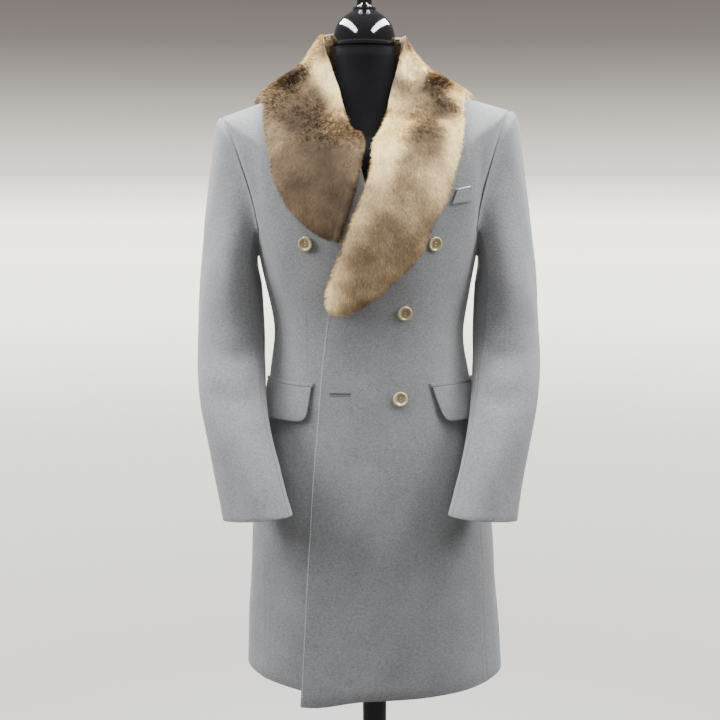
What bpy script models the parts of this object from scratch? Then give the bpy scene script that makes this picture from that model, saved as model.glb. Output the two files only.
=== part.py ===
"""Double-breasted wool overcoat with a fur shawl collar, on a limbless dress form.

Units are metres, +Z is up and the coat faces -Y. +X is the wearer's left.
The origin is the centre of the underside of the form's base.
"""
import functools
import math

import bmesh
import bpy
import numpy as np
from mathutils import Matrix, Vector

# Cloth and seams
WOOL = 0.0022
SEAM_GAP = 0.0003
LAP_LIFT = WOOL + 0.0014

# Heights of the coat
HEM_Z = 0.486
ARMPIT_Z = 1.195
SHOULDER_Z = 1.417
NECK_SIDE_Z = 1.482
TOP_LEAN = -0.0165
LEAN_RISE = 0.934
ROUNDNESS = 2.3

# Girth rows of the body: height, half width, depth in front, depth behind
BODY_ROWS = (
    ("hem", HEM_Z, 0.222, 0.165, 0.158),
    ("thigh", 0.640, 0.211, 0.158, 0.152),
    ("seat", 0.760, 0.205, 0.152, 0.148),
    ("hip", 0.890, 0.185, 0.138, 0.137),
    ("high hip", 1.005, 0.168, 0.125, 0.121),
    ("waist", 1.081, 0.158, 0.117, 0.110),
    ("ribs", 1.150, 0.1725, 0.126, 0.118),
    ("armpit", ARMPIT_Z, 0.181, 0.132, 0.124),
)

# Sides of the wearer
LEFT, RIGHT = 1, -1
SIDE_NAMES = {LEFT: "left", RIGHT: "right"}

# Rings over the shoulders: half width, depth front and back, height front, side and back
SHOULDER_RING = dict(half=0.2355, front=0.118, back=0.114, z_front=1.345, z_side=SHOULDER_Z, z_back=1.405)
NECK_RING = dict(half=0.078, front=0.063, back=0.072, z_front=1.395, z_side=NECK_SIDE_Z, z_back=1.502)
SHOULDER_RISE = {LEFT: 0.020, RIGHT: 0.009}

# Armhole edge of the fronts: level v (1 armpit, 2 shoulder tip) and angle from the centre front
ARMHOLE_ROWS = ((1.22, 66.0), (1.45, 62.0), (1.75, 65.5), (1.92, 73.0), (2.0, 90.0))
ARMHOLE_LOW = 0.22
SIDE_SEAM_HEM = 54.5
SIDE_SEAM_TOP = 66.0
SIDE_TOP_V = 1.22

# Edge of each front, as a distance past the centre front at a level v
FRONT_EDGE_ROWS = (
    (0.0, 0.122), (0.45, 0.099), (0.874, 0.067), (0.93, 0.060), (1.11, 0.038),
    (1.42, 0.022), (1.9, -0.006), (2.5, -0.022), (2.75, -0.038), (3.0, -0.056),
)
HEM_RISE = {LEFT: 0.011, RIGHT: 0.020}
HEM_RISE_POWER = 1.2
HEM_RISE_END_Z = 0.735
HEM_DIP = 0.027
HEM_DIP_REACH = 0.115
HEM_DIP_LEVEL = 0.3
LAP_CLEAR = 0.02
LAP_FADE = 0.05

# Sleeve rings: height, out from the centre line, forward, half width, half depth, turn in degrees
SLEEVE_ROWS = (
    ("biceps", 1.150, 0.2290, 0.008, 0.0520, 0.0750, 0.0),
    ("above elbow", 1.085, 0.2275, 0.024, 0.0550, 0.0660, 8.0),
    ("elbow", 1.032, 0.2265, 0.048, 0.0565, 0.0600, 20.0),
    ("below elbow", 0.967, 0.2205, 0.088, 0.0570, 0.0530, 33.0),
    ("forearm", 0.910, 0.2085, 0.119, 0.0580, 0.0480, 36.0),
    ("wrist", 0.850, 0.1935, 0.144, 0.0595, 0.0440, 35.0),
    ("cuff", 0.793, 0.1795, 0.165, 0.0615, 0.0420, 30.0),
)
SLEEVE_SWING = 0.004
SEAM_TWIST = 1.5
CUFF_TILT = 0.14

# Finish of the wool
WOOL_GREY = (0.125, 0.132, 0.140)
WOOL_ROUGHNESS = 0.9

# Rows and columns of the body panels
SIDE_LEVELS = [
    0.0, 0.12, 0.24, 0.36, 0.48, 0.58, 0.66, 0.73, 0.79, 0.84, 0.89, 0.94, 1.0, 1.11, SIDE_TOP_V,
]
ARMHOLE_LEVELS = [1.34, 1.48, 1.62, 1.75, 1.85, 1.93, 1.98, 2.0]
OVER_LEVELS = [2.2, 2.4, 2.58, 2.72, 2.84, 2.92, 2.985]
BODY_LEVELS = SIDE_LEVELS + ARMHOLE_LEVELS + OVER_LEVELS
FRONT_COLUMNS = 11
BACK_COLUMNS = 9
SIDE_COLUMNS = 6
HALF_GAP = SEAM_GAP / 2
LEVEL_GAP = 0.0008
SCOOP_START = 0.5
TOP_LEVEL = 3.2
SLOPE_STEP = 0.01

# Sleeve heads: spread of the rows over the head, how far the cloth leaves the armhole before it turns down
HEAD_SPREAD = (0.0, 0.035, 0.075, 0.125, 0.2, 0.34, 0.5, 0.7, 0.86)
SLEEVE_RINGS = 12
HEAD_LEAVE = 0.075
CROWN_LEAVE = {LEFT: 0.060, RIGHT: 0.045}
CROWN_STEP = {LEFT: 0.0085, RIGHT: 0.0055}
CROWN_PEAK = 0.10
CROWN_SHARES = (0.04, 0.17)
UNDERARM_LEAVE = 0.030
SLEEVE_GAP = 0.0006
UNDERARM_SHARES = (0.28, 0.46)
UNDERARM_FALL = 0.25
FALL_STEP = 0.004
TILT_START_Z = 0.95

# Collar sections from the centre back to the tip: inner angle and level, outer angle and level,
# rise of the roll over the inner edge, depth of the pile
LEFT_NECK_ROWS = (
    (180.0, 3.00, 180.0, 1.90, 0.076, 0.024),
    (160.0, 3.00, 160.0, 1.92, 0.076, 0.024),
    (138.0, 3.00, 135.5, 2.04, 0.078, 0.022),
    (114.0, 3.00, 111.0, 2.26, 0.083, 0.019),
    (90.0, 3.00, 87.0, 2.43, 0.088, 0.016),
    (68.0, 3.00, 65.6, 2.38, 0.084, 0.016),
    (48.0, 3.00, 50.4, 2.23, 0.074, 0.018),
    (28.0, 3.00, 40.3, 2.03, 0.056, 0.021),
    (13.0, 2.87, 36.3, 1.89, 0.038, 0.025),
)
RIGHT_NECK_ROWS = (
    (180.0, 3.00, 180.0, 1.90, 0.076, 0.024),
    (160.0, 3.00, 160.0, 1.92, 0.081, 0.024),
    (138.0, 3.00, 136.0, 2.02, 0.088, 0.024),
    (114.0, 3.00, 112.0, 2.25, 0.092, 0.024),
    (90.0, 3.00, 88.0, 2.42, 0.089, 0.024),
    (68.0, 3.00, 67.0, 2.37, 0.084, 0.025),
    (48.0, 3.00, 52.0, 2.21, 0.074, 0.026),
    (28.0, 3.00, 42.0, 2.02, 0.056, 0.026),
    (13.0, 2.87, 38.0, 1.89, 0.038, 0.025),
)
LEFT_LAPEL_ROWS = (
    (1.3, 2.53, 33.9, 1.78, 0.027, 0.025),
    (-0.5, 1.90, 32.7, 1.64, 0.025, 0.025),
    (-3.9, 1.58, 31.2, 1.51, 0.025, 0.025),
    (-6.7, 1.40, 27.8, 1.38, 0.025, 0.025),
    (-9.6, 1.24, 26.6, 1.24, 0.025, 0.025),
    (-12.2, 1.10, 25.0, 1.10, 0.025, 0.025),
    (-15.5, 0.99, 18.5, 0.99, 0.024, 0.024),
    (-18.6, 0.955, 10.4, 0.955, 0.023, 0.023),
    (-21.0, 0.925, 4.5, 0.922, 0.022, 0.022),
    (-20.6, 0.897, -4.0, 0.894, 0.018, 0.018),
    (-17.5, 0.885, -10.0, 0.883, 0.009, 0.009),
)
RIGHT_LAPEL_ROWS = (
    (0.6, 2.62, 37.4, 1.76, 0.027, 0.025),
    (1.6, 1.95, 36.0, 1.68, 0.024, 0.024),
    (5.0, 1.58, 33.0, 1.51, 0.022, 0.022),
    (7.8, 1.40, 27.5, 1.39, 0.021, 0.021),
    (9.6, 1.30, 21.0, 1.275, 0.019, 0.019),
    (10.6, 1.24, 15.5, 1.225, 0.014, 0.014),
)
COLLAR_ROWS = {LEFT: LEFT_NECK_ROWS + LEFT_LAPEL_ROWS, RIGHT: RIGHT_NECK_ROWS + RIGHT_LAPEL_ROWS}
FUR_BROWN = (0.235, 0.150, 0.082)
UNDER_FUR_GAP = 0.0024
STAND_LEAN = 0.27
STATIONS_PER_ROW = 2
STANDING_RISE = 0.030
STAND_FADE = (0.15, 0.70)
LAST_NORMAL_LEVEL = 2.97

# Outline of a collar section: share across and height, first lying flat, then standing at the neck.
# A height counts piles when flat and rises when standing; the last column adds piles to the latter.
SECTION_ROWS = (
    ("inner foot", 0.04, 0.00, 0.00, 0.00, 0.0),
    ("inner face", 0.00, 0.42, 0.00, 0.45, 0.0),
    ("inner brow", 0.05, 0.84, 0.00, 0.88, 0.0),
    ("roll top", 0.16, 1.00, 0.06, 1.00, 0.0),
    ("roll brow", 0.30, 1.00, 0.19, 0.62, 0.0),
    ("groove", 0.46, 1.00, 0.34, 0.18, 0.84),
    ("fall", 0.62, 1.00, 0.54, 0.10, 0.88),
    ("fall low", 0.78, 0.96, 0.76, 0.02, 0.88),
    ("edge brow", 0.93, 0.76, 0.92, 0.00, 0.70),
    ("edge", 1.00, 0.36, 1.00, 0.00, 0.36),
    ("edge foot", 0.95, 0.00, 0.95, 0.00, 0.0),
    ("under low", 0.75, 0.00, 0.75, 0.00, 0.0),
    ("under", 0.55, 0.00, 0.56, 0.00, 0.0),
    ("under high", 0.36, 0.00, 0.40, 0.00, 0.0),
    ("fold", 0.22, 0.00, 0.21, 0.67, -1.0),
    ("stand foot", 0.12, 0.00, 0.13, 0.00, 0.0),
)

# The roll is fuller on one side: what is added to the share across and to the rises at the side of the neck
ROLL_FULLNESS = {
    LEFT: {"roll top": (0.0, 0.0), "roll brow": (0.0, 0.0)},
    RIGHT: {"roll top": (0.10, 0.0), "roll brow": (0.05, 0.20)},
}

# Pocket trim, seen from ahead: distances from the centre line and heights
FLAP_TOP_Z = 0.993
FLAP_DROP = 0.056
FLAP_START = {LEFT: 0.098, RIGHT: 0.094}
FLAP_SLANT = {LEFT: 0.010, RIGHT: 0.003}
FLAP_LENGTH_DEG = 50.0
FLAP_CORNER = 0.012
FLAP_CORNER_CUT = 0.7
FLAP_CROWDING = 1.3
FLAP_COLUMNS = 12
FLAP_ROWS = 5
JET_HEIGHT = 0.0065
JET_OVERRUN = 0.02
TRIM_CLOTH = 0.0026
TRIM_LIFT = 0.0008
WELT_INNER = ((0.1325, 1.2860), (0.1425, 1.3110))
WELT_OUTER = ((0.1640, 1.2905), (0.1660, 1.3155))
WELT_ROWS = 3
WELT_COLUMNS = 5

# Buttons: side that carries it, distance from the centre line to +X, height
BUTTON_ROWS = (
    (RIGHT, -0.0980, 1.2245),
    (LEFT, 0.1055, 1.224),
    (LEFT, 0.056, 1.1145),
    (LEFT, 0.047, 0.976),
)
BUTTON_RADIUS = 0.0120
BUTTON_LIFT = 0.0007
BUTTON_PROFILE = (
    (0.0, 0.0), (0.86, 0.0), (1.0, 0.10), (1.0, 0.24),
    (0.93, 0.36), (0.80, 0.37), (0.66, 0.26), (0.0, 0.22),
)
BUTTON_SIDES = 18
HORN = (0.560, 0.430, 0.235)

# Dress form
FORM_BOTTOM_Z = 0.740
FORM_CLEAR = 0.0070
FORM_REST = 0.0011
FORM_SIDES = 28
FORM_ROWS = 7
FORM_FADE = (1.9, 2.4)
FORM_LEVELS = [1.2, 1.4, 1.6, 1.75, 1.87, 1.95, 2.0, 2.2, 2.4, 2.58, 2.72, 2.84, 2.92, 3.0]
NECK_RADIUS = 0.0490
NECK_LOW_Z = 1.500
NECK_BLEND = 0.85
NECK_TOP_Z = 1.5400
FORM_BLACK = (0.012, 0.012, 0.014)
CAP_RADIUS = 0.0505
CAP_Z = NECK_TOP_Z + SEAM_GAP
CAP_PROFILE = (
    (0.0, 0.0), (1.0, 0.0), (1.01, 0.18), (0.98, 0.40), (0.90, 0.60),
    (0.75, 0.79), (0.56, 0.92), (0.42, 1.0), (0.0, 1.0),
)
CAP_HEIGHT = 0.0560
FINIAL_RADIUS = 0.0195
FINIAL_PROFILE = (
    (0.0, 0.0), (1.0, 0.0), (1.0, 0.26), (0.66, 0.40), (0.62, 0.80), (0.68, 1.30), (0.90, 1.80),
    (1.0, 2.25), (0.90, 2.75), (0.55, 3.08), (0.0, 3.18),
)
POLE_RADIUS = 0.0205
BASE_RADIUS = 0.190
BASE_HEIGHT = 0.030
BASE_PROFILE = (
    (0.0, 0.0), (0.97, 0.0), (1.0, 0.004), (1.0, 0.014),
    (0.96, 0.020), (0.22, BASE_HEIGHT), (0.0, BASE_HEIGHT),
)
TURNED_SIDES = 28


def smooth_rows(rows, value):
    """Reads a table of (place, number) rows with a curve that never overshoots its rows."""
    places = [row[0] for row in rows]
    numbers = [row[1] for row in rows]
    steps = [(numbers[i + 1] - numbers[i]) / (places[i + 1] - places[i]) for i in range(len(rows) - 1)]
    slopes = [steps[0]]
    for before, after in zip(steps, steps[1:]):
        slopes.append(0.0 if before * after <= 0 else 2 * before * after / (before + after))
    slopes.append(steps[-1])
    value = min(max(value, places[0]), places[-1])
    i = max(k for k in range(len(rows) - 1) if places[k] <= value)
    width = places[i + 1] - places[i]
    t = (value - places[i]) / width
    return hermite(numbers[i], numbers[i + 1], slopes[i] * width, slopes[i + 1] * width, t)


def hermite(start, end, leave, arrive, t):
    """Cubic between two ends, numbers or points, with the given slopes."""
    rise = t * t * (3 - 2 * t)
    return start * (1 - rise) + end * rise + leave * (t * (1 - t) ** 2) + arrive * (t * t * (t - 1))


def ease(value, low, high):
    """Goes smoothly from 0 at low to 1 at high."""
    t = min(max((value - low) / (high - low), 0.0), 1.0)
    return t * t * (3 - 2 * t)


def unit(vector):
    return vector / np.linalg.norm(vector)


def lean_at(z):
    """Sideways drift of the coat's centre line, which leans off the pole towards the top."""
    return TOP_LEAN * (z - HEM_Z) / LEAN_RISE


def round_pair(angle):
    """Sideways and forward shares of a girth ring at an angle from the centre front, in degrees."""
    side = math.sin(math.radians(angle))
    ahead = math.cos(math.radians(angle))
    power = 2 / ROUNDNESS
    return math.copysign(abs(side) ** power, side), math.copysign(abs(ahead) ** power, ahead)


def hand_of(angle):
    """Side of the wearer at an angle from the centre front."""
    return LEFT if math.sin(math.radians(angle)) >= 0 else RIGHT


def body_row(z, column):
    return smooth_rows([(row[1], row[column]) for row in BODY_ROWS], z)


def hem_rise(angle, z):
    """Lift of the hem towards a side seam, gone a short way up the skirt."""
    if z >= HEM_RISE_END_Z:
        return 0.0
    aside = math.sin(math.radians(angle))
    return HEM_RISE[hand_of(angle)] * abs(aside) ** HEM_RISE_POWER * (1 - ease(z, HEM_Z, HEM_RISE_END_Z))


def girth_point(angle, z):
    """Point on the coat's outer face below the armpit."""
    side, ahead = round_pair(angle)
    depth = body_row(z, 3 if ahead > 0 else 4)
    lift = hem_rise(angle, z)
    return np.array((lean_at(z) + body_row(z, 2) * side, -depth * ahead, z + lift))


def ring_point(ring, angle, rise=0.0):
    """Point on the shoulder ring or the neck ring, its sides lifted by a rise."""
    side, ahead = round_pair(angle)
    depth = ring["front"] if ahead > 0 else ring["back"]
    end = ring["z_front"] if ahead > 0 else ring["z_back"]
    share = math.sin(math.radians(angle)) ** 2
    z = end + (ring["z_side"] + rise - end) * share
    return np.array((lean_at(z) + ring["half"] * side, -depth * ahead, z))


def body_point(angle, level):
    """Point of the coat's outer face: level 0 is the hem, 1 the armpit, 2 the shoulder tip, 3 the neck."""
    if level <= 1:
        return girth_point(angle, HEM_Z + level * (ARMPIT_Z - HEM_Z))
    armpit = girth_point(angle, ARMPIT_Z)
    shoulder = ring_point(SHOULDER_RING, angle, SHOULDER_RISE[hand_of(angle)])
    neck = ring_point(NECK_RING, angle)
    rise = np.linalg.norm(shoulder - armpit)
    over = np.linalg.norm(neck - shoulder)
    crest = math.sin(math.radians(angle)) ** 2
    turn = unit(neck - armpit)
    if level <= 2:
        leave = unit(armpit - girth_point(angle, ARMPIT_Z - SLOPE_STEP)) * rise
        arrive = turn * rise * (1 - crest) + (shoulder - armpit) * crest
        return hermite(armpit, shoulder, leave, arrive, level - 1)
    leave = turn * over * (1 - crest) + (neck - shoulder) * crest
    return hermite(shoulder, neck, leave, neck - shoulder, min(level, TOP_LEVEL) - 2)


def body_normal(angle, level):
    """Outward direction of the coat's outer face."""
    d_angle, d_level = 0.4, 0.004
    around = body_point(angle + d_angle, level) - body_point(angle - d_angle, level)
    up = body_point(angle, level + d_level) - body_point(angle, level - d_level)
    return unit(np.cross(around, up))


def angle_at(distance, level):
    """Angle at which the front lies that far to +X of the centre line."""
    low, high = -80.0, 80.0
    for _ in range(40):
        middle = (low + high) / 2
        point = body_point(middle, level)
        if point[0] - lean_at(point[2]) < distance:
            low = middle
        else:
            high = middle
    return (low + high) / 2


def front_place(x, z):
    """Angle and level of the coat's front at a place seen from straight ahead."""
    angle, level = 0.0, 1.0
    angle_step, level_step = 0.5, 0.01
    for _ in range(30):
        here = body_point(angle, level)
        by_angle = (body_point(angle + angle_step, level) - here) / angle_step
        by_level = (body_point(angle, level + level_step) - here) / level_step
        grid = np.array(((by_angle[0], by_level[0]), (by_angle[2], by_level[2])))
        move = np.linalg.solve(grid, np.array((x - here[0], z - here[2])))
        angle = min(max(angle + min(max(move[0], -15), 15), -88.0), 88.0)
        level = min(max(level + min(max(move[1], -0.3), 0.3), 0.0), 3.0)
    return angle, level


def side_seam(level):
    """Angle of the seam between a front and its side body."""
    return SIDE_SEAM_HEM + (SIDE_SEAM_TOP - SIDE_SEAM_HEM) * min(level / SIDE_TOP_V, 1.0)


def front_outer(level):
    """Angle of a front's outer edge: side seam, then armhole, then shoulder seam."""
    if level <= SIDE_TOP_V:
        return side_seam(level)
    return smooth_rows(ARMHOLE_ROWS, level)


def seam_step(angle, level, gap):
    """Degrees of turn that cover a gap at a place on the body."""
    width = np.linalg.norm(body_point(angle + 0.5, level) - body_point(angle - 0.5, level))
    return gap / width


def add_object(name, maker, colour, roughness, metallic=0.0):
    """Makes a named object from a bmesh, with its own material."""
    mesh = bpy.data.meshes.new(name)
    bmesh.ops.remove_doubles(maker, verts=maker.verts, dist=1e-6)
    bmesh.ops.recalc_face_normals(maker, faces=maker.faces)
    maker.to_mesh(mesh)
    maker.free()
    mesh.shade_smooth()
    mesh.set_sharp_from_angle(angle=math.radians(40))
    item = bpy.data.objects.new(name, mesh)
    bpy.context.scene.collection.objects.link(item)
    material = bpy.data.materials.new(name + "_finish")
    material.use_nodes = True
    shader = material.node_tree.nodes["Principled BSDF"]
    shader.inputs["Base Color"].default_value = (*colour, 1.0)
    shader.inputs["Roughness"].default_value = roughness
    shader.inputs["Metallic"].default_value = metallic
    mesh.materials.append(material)
    return item


def wall_mesh(outer, inner):
    """Closed cloth wall between two grids of points of the same size, rows by columns."""
    maker = bmesh.new()
    rows, columns = len(outer), len(outer[0])
    faces = []
    for grid in (outer, inner):
        faces.append([[maker.verts.new(point) for point in row] for row in grid])
    front, back = faces
    for i in range(rows - 1):
        for j in range(columns - 1):
            maker.faces.new((front[i][j], front[i][j + 1], front[i + 1][j + 1], front[i + 1][j]))
            maker.faces.new((back[i][j], back[i + 1][j], back[i + 1][j + 1], back[i][j + 1]))
    rim = [(0, j) for j in range(columns)] + [(i, columns - 1) for i in range(1, rows)]
    rim += [(rows - 1, j) for j in range(columns - 2, -1, -1)] + [(i, 0) for i in range(rows - 2, 0, -1)]
    for (i, j), (m, n) in zip(rim, rim[1:] + rim[:1]):
        maker.faces.new((front[i][j], back[i][j], back[m][n], front[m][n]))
    return maker


def front_edge(level):
    """How far a front reaches past the centre line."""
    return smooth_rows(FRONT_EDGE_ROWS, level)


def lap_lift(hand, angle, level):
    """Lift of the lapping front where it lies on the other one."""
    if hand == RIGHT:
        return 0.0
    point = body_point(angle, level)
    past = point[0] - lean_at(point[2])
    edge = front_edge(level)
    return LAP_LIFT * (1 - ease(past, edge + LAP_CLEAR, edge + LAP_CLEAR + LAP_FADE))


def cloth_point(hand, angle, level, out=0.0):
    """Point over a front's outer face, that far out from it."""
    return body_point(angle, level) + body_normal(angle, level) * (lap_lift(hand, angle, level) + out)


def hem_dip(hand, point, level):
    """Drop of the lapping front's lower corner."""
    if hand == RIGHT or level > HEM_DIP_LEVEL:
        return 0.0
    from_edge = point[0] - lean_at(point[2]) + front_edge(level)
    return HEM_DIP * (1 - ease(level, 0.0, HEM_DIP_LEVEL)) * (1 - ease(from_edge, 0.0, HEM_DIP_REACH))


def front_panel(hand):
    outer, inner = [], []
    for level in BODY_LEVELS:
        start = hand * angle_at(-front_edge(level), level)
        reach = front_outer(level)
        end = reach - seam_step(reach, level, HALF_GAP)
        row_out, row_in = [], []
        for j in range(FRONT_COLUMNS):
            angle = hand * (start * hand + (end - start * hand) * j / (FRONT_COLUMNS - 1))
            drop = np.array((0, 0, hem_dip(hand, body_point(angle, level), level)))
            row_out.append(cloth_point(hand, angle, level) - drop)
            row_in.append(cloth_point(hand, angle, level, -WOOL) - drop)
        outer.append(row_out)
        inner.append(row_in)
    add_object(SIDE_NAMES[hand] + "_front", wall_mesh(outer, inner), WOOL_GREY, WOOL_ROUGHNESS)


def back_panel(hand):
    outer, inner = [], []
    for level in BODY_LEVELS:
        reach = 180 - front_outer(level)
        start = reach + seam_step(reach, level, HALF_GAP)
        end = 180 - seam_step(180, level, HALF_GAP)
        angles = [hand * (start + (end - start) * j / (BACK_COLUMNS - 1)) for j in range(BACK_COLUMNS)]
        outer.append([body_point(angle, level) for angle in angles])
        inner.append([body_point(angle, level) - body_normal(angle, level) * WOOL for angle in angles])
    add_object(SIDE_NAMES[hand] + "_back", wall_mesh(outer, inner), WOOL_GREY, WOOL_ROUGHNESS)


def underarm_angle(column):
    """Angle of a column of the side body where it meets the armhole."""
    return SIDE_SEAM_TOP + (180 - 2 * SIDE_SEAM_TOP) * column / (SIDE_COLUMNS - 1)


def side_top(angle):
    """Level of the underarm edge of a side body."""
    return 1 + ARMHOLE_LOW * ((angle - 90) / (90 - SIDE_SEAM_TOP)) ** 2


def side_panel(hand):
    outer, inner = [], []
    for seam_level in SIDE_LEVELS:
        row_out, row_in = [], []
        for j in range(SIDE_COLUMNS):
            across = j / (SIDE_COLUMNS - 1)
            scoop = SIDE_TOP_V - side_top(underarm_angle(j))
            level = seam_level - (scoop + LEVEL_GAP) * ease(seam_level, SCOOP_START, SIDE_TOP_V)
            seam = side_seam(seam_level)
            seam += seam_step(seam, seam_level, HALF_GAP)
            angle = hand * (seam + (180 - 2 * seam) * across)
            row_out.append(body_point(angle, level))
            row_in.append(body_point(angle, level) - body_normal(angle, level) * WOOL)
        outer.append(row_out)
        inner.append(row_in)
    add_object(SIDE_NAMES[hand] + "_side", wall_mesh(outer, inner), WOOL_GREY, WOOL_ROUGHNESS)


@functools.lru_cache(maxsize=None)
def armhole_half():
    """Corners down the front armhole from the shoulder tip: share of the turn, angle, level."""
    places = [(front_outer(level), level) for level in reversed(ARMHOLE_LEVELS)]
    places += [(underarm_angle(j), side_top(underarm_angle(j))) for j in range(SIDE_COLUMNS // 2)]
    places.append((90.0, 1.0))
    points = [body_point(*place) for place in places]
    lengths = [0.0]
    for before, after in zip(points, points[1:]):
        lengths.append(lengths[-1] + np.linalg.norm(after - before))
    return [(length / lengths[-1] / 2, *place) for length, place in zip(lengths, places)]


def armhole_corners(first, last):
    """Corners of the armhole round the front half, then behind, each with its share of the turn."""
    front = armhole_half()[:-1]
    behind = [(1 - turn, 180 - angle, level) for turn, angle, level in reversed(front[1:])]
    ring = front + behind
    return [(turn + index // len(ring), angle, level)
            for index in range(first, last + 1)
            for turn, angle, level in [ring[index % len(ring)]]]


def sleeve_row(z, column):
    return smooth_rows([(row[1], row[column]) for row in reversed(SLEEVE_ROWS)], z)


def sleeve_ring(hand, turn, z):
    """Point on a sleeve below its head, at a share of the turn and a height."""
    out, ahead, half, deep, yaw = (sleeve_row(z, column) for column in range(2, 7))
    out -= hand * SLEEVE_SWING * ease(-z, -SLEEVE_ROWS[0][1], -SLEEVE_ROWS[-2][1])
    around = 2 * math.pi * turn + math.radians(SEAM_TWIST * yaw)
    wide, front = half * math.cos(around), deep * math.sin(around)
    yaw = math.radians(yaw)
    aside = out + wide * math.cos(yaw) + front * math.sin(yaw)
    forward = ahead - wide * math.sin(yaw) + front * math.cos(yaw)
    tilt = CUFF_TILT * wide * ease(-z, -TILT_START_Z, -SLEEVE_ROWS[-1][1])
    return np.array((lean_at(z) + hand * aside, -forward, z - tilt))


def from_tip(turn):
    """Share of the turn between a place on the armhole and the shoulder tip."""
    return 0.5 - abs(turn % 1.0 - 0.5)


def crown_at(turn):
    """1 at the crown of a sleeve head, going to 0 down the front and the back of the armhole."""
    return 1 - ease(from_tip(turn), *CROWN_SHARES)


def sleeve_start(hand, corner, before, after):
    """First point of a sleeve at an armhole corner, the outward direction there and the way it leaves."""
    turn, angle, level = corner
    point = body_point(hand * angle, level)
    normal = body_normal(hand * angle, level)
    along = body_point(hand * after[1], after[2]) - body_point(hand * before[1], before[2])
    away = unit(np.cross(normal, along))
    if np.dot(away, body_point(hand * 90, 1.5) - point) < 0:
        away = -away
    under = ease(from_tip(turn), *UNDERARM_SHARES)
    crown = crown_at(turn)
    shove = np.array((hand, 0, -UNDERARM_FALL))
    slope = unit(body_point(hand * 90, 2) - body_point(hand * 90, 3))
    leave = away * HEAD_LEAVE * (1 - under - crown) + shove * UNDERARM_LEAVE * under
    leave = leave + slope * CROWN_LEAVE[hand] * crown
    return point + away * SLEEVE_GAP, normal, leave


def sleeve_line(hand, turn, start, leave):
    """Points down a sleeve at one share of the turn."""
    top_z = SLEEVE_ROWS[0][1]
    cuff_z = SLEEVE_ROWS[-1][1]
    end = sleeve_ring(hand, turn, top_z)
    fall = unit(sleeve_ring(hand, turn, top_z - FALL_STEP) - end) * np.linalg.norm(end - start)
    step_out = np.array((hand * CROWN_STEP[hand] * crown_at(turn), 0, 0))
    points = []
    for t in HEAD_SPREAD:
        swell = t / CROWN_PEAK * math.exp(1 - t / CROWN_PEAK)
        points.append(hermite(start, end, leave, fall, t) + step_out * swell)
    for i in range(SLEEVE_RINGS):
        points.append(sleeve_ring(hand, turn, top_z + (cuff_z - top_z) * i / (SLEEVE_RINGS - 1)))
    return points


def sleeve_piece(hand, name, first, last):
    """One piece of a two-piece sleeve, between two corners of the armhole."""
    corners = armhole_corners(first - 2, last + 2)
    lines, normals = [], []
    for before, corner, after in zip(corners, corners[1:], corners[2:]):
        start, normal, leave = sleeve_start(hand, corner, before, after)
        lines.append(sleeve_line(hand, corner[0], start, leave))
        normals.append(normal)
    rows = len(lines[0])
    outer, inner = [], []
    for i in range(rows):
        row_out, row_in = [], []
        for j in range(1, len(lines) - 1):
            across = lines[j + 1][i] - lines[j - 1][i]
            down = lines[j][min(i + 1, rows - 1)] - lines[j][max(i - 1, 0)]
            wall = normals[j] if i == 0 else unit(np.cross(across, down)) * hand
            point = lines[j][i]
            if j == 1:
                point = point + unit(across) * SLEEVE_GAP
            if j == len(lines) - 2:
                point = point - unit(across) * SLEEVE_GAP
            row_out.append(point)
            row_in.append(point - wall * WOOL)
        outer.append(row_out)
        inner.append(row_in)
    add_object(SIDE_NAMES[hand] + name, wall_mesh(outer, inner), WOOL_GREY, WOOL_ROUGHNESS)


def sleeve(hand):
    seam = len(ARMHOLE_LEVELS)
    corners = 2 * len(armhole_half()[:-1]) - 1
    sleeve_piece(hand, "_upper_sleeve", -seam, seam)
    sleeve_piece(hand, "_under_sleeve", seam, corners - seam)


def collar_section(hand, row):
    """Closed outline of the fur collar at one station."""
    inner_angle, inner_level, outer_angle, outer_level, rise, pile = row
    standing = ease(rise - pile, 0.0, STANDING_RISE)
    ring = []
    aside = math.sin(math.radians(inner_angle)) ** 2
    for name, flat_across, flat_height, up_across, up_rises, up_piles in SECTION_ROWS:
        fuller_across, fuller_rise = ROLL_FULLNESS[hand].get(name, (0.0, 0.0))
        up_across += fuller_across * aside
        across = flat_across + (up_across - flat_across) * standing
        standing_height = (up_rises + fuller_rise * aside) * rise + up_piles * pile
        height = flat_height * pile * (1 - standing) + standing_height * standing
        angle = hand * (inner_angle + (outer_angle - inner_angle) * across)
        level = inner_level + (outer_level - inner_level) * across
        normal = body_normal(angle, min(level, LAST_NORMAL_LEVEL))
        axis = np.array((lean_at(SHOULDER_Z), 0.0, 0.0))
        foot = cloth_point(hand, angle, level, UNDER_FUR_GAP)
        inward = unit((axis - foot) * np.array((1, 1, 0)))
        upright = unit(np.array((0, 0, 1)) + inward * STAND_LEAN)
        share = standing * (1 - ease(across, *STAND_FADE))
        ring.append(foot + unit(normal * (1 - share) + upright * share) * height)
    return ring


def collar_half(hand):
    rows = COLLAR_ROWS[hand]
    columns = list(zip(*rows))
    maker = bmesh.new()
    rings = []
    count = (len(rows) - 1) * STATIONS_PER_ROW + 1
    for i in range(count):
        place = i / STATIONS_PER_ROW
        row = [smooth_rows(list(enumerate(column)), place) for column in columns]
        if i == 0:
            row[0] -= seam_step(180, 3, 2 * SEAM_GAP)
            row[2] -= seam_step(180, 2, 2 * SEAM_GAP)
        rings.append([maker.verts.new(point) for point in collar_section(hand, row)])
    for before, after in zip(rings, rings[1:]):
        for j in range(len(before)):
            k = (j + 1) % len(before)
            maker.faces.new((before[j], before[k], after[k], after[j]))
    maker.faces.new(rings[0])
    maker.faces.new(rings[-1])
    add_object(SIDE_NAMES[hand] + "_collar", maker, FUR_BROWN, 0.95)


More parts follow.
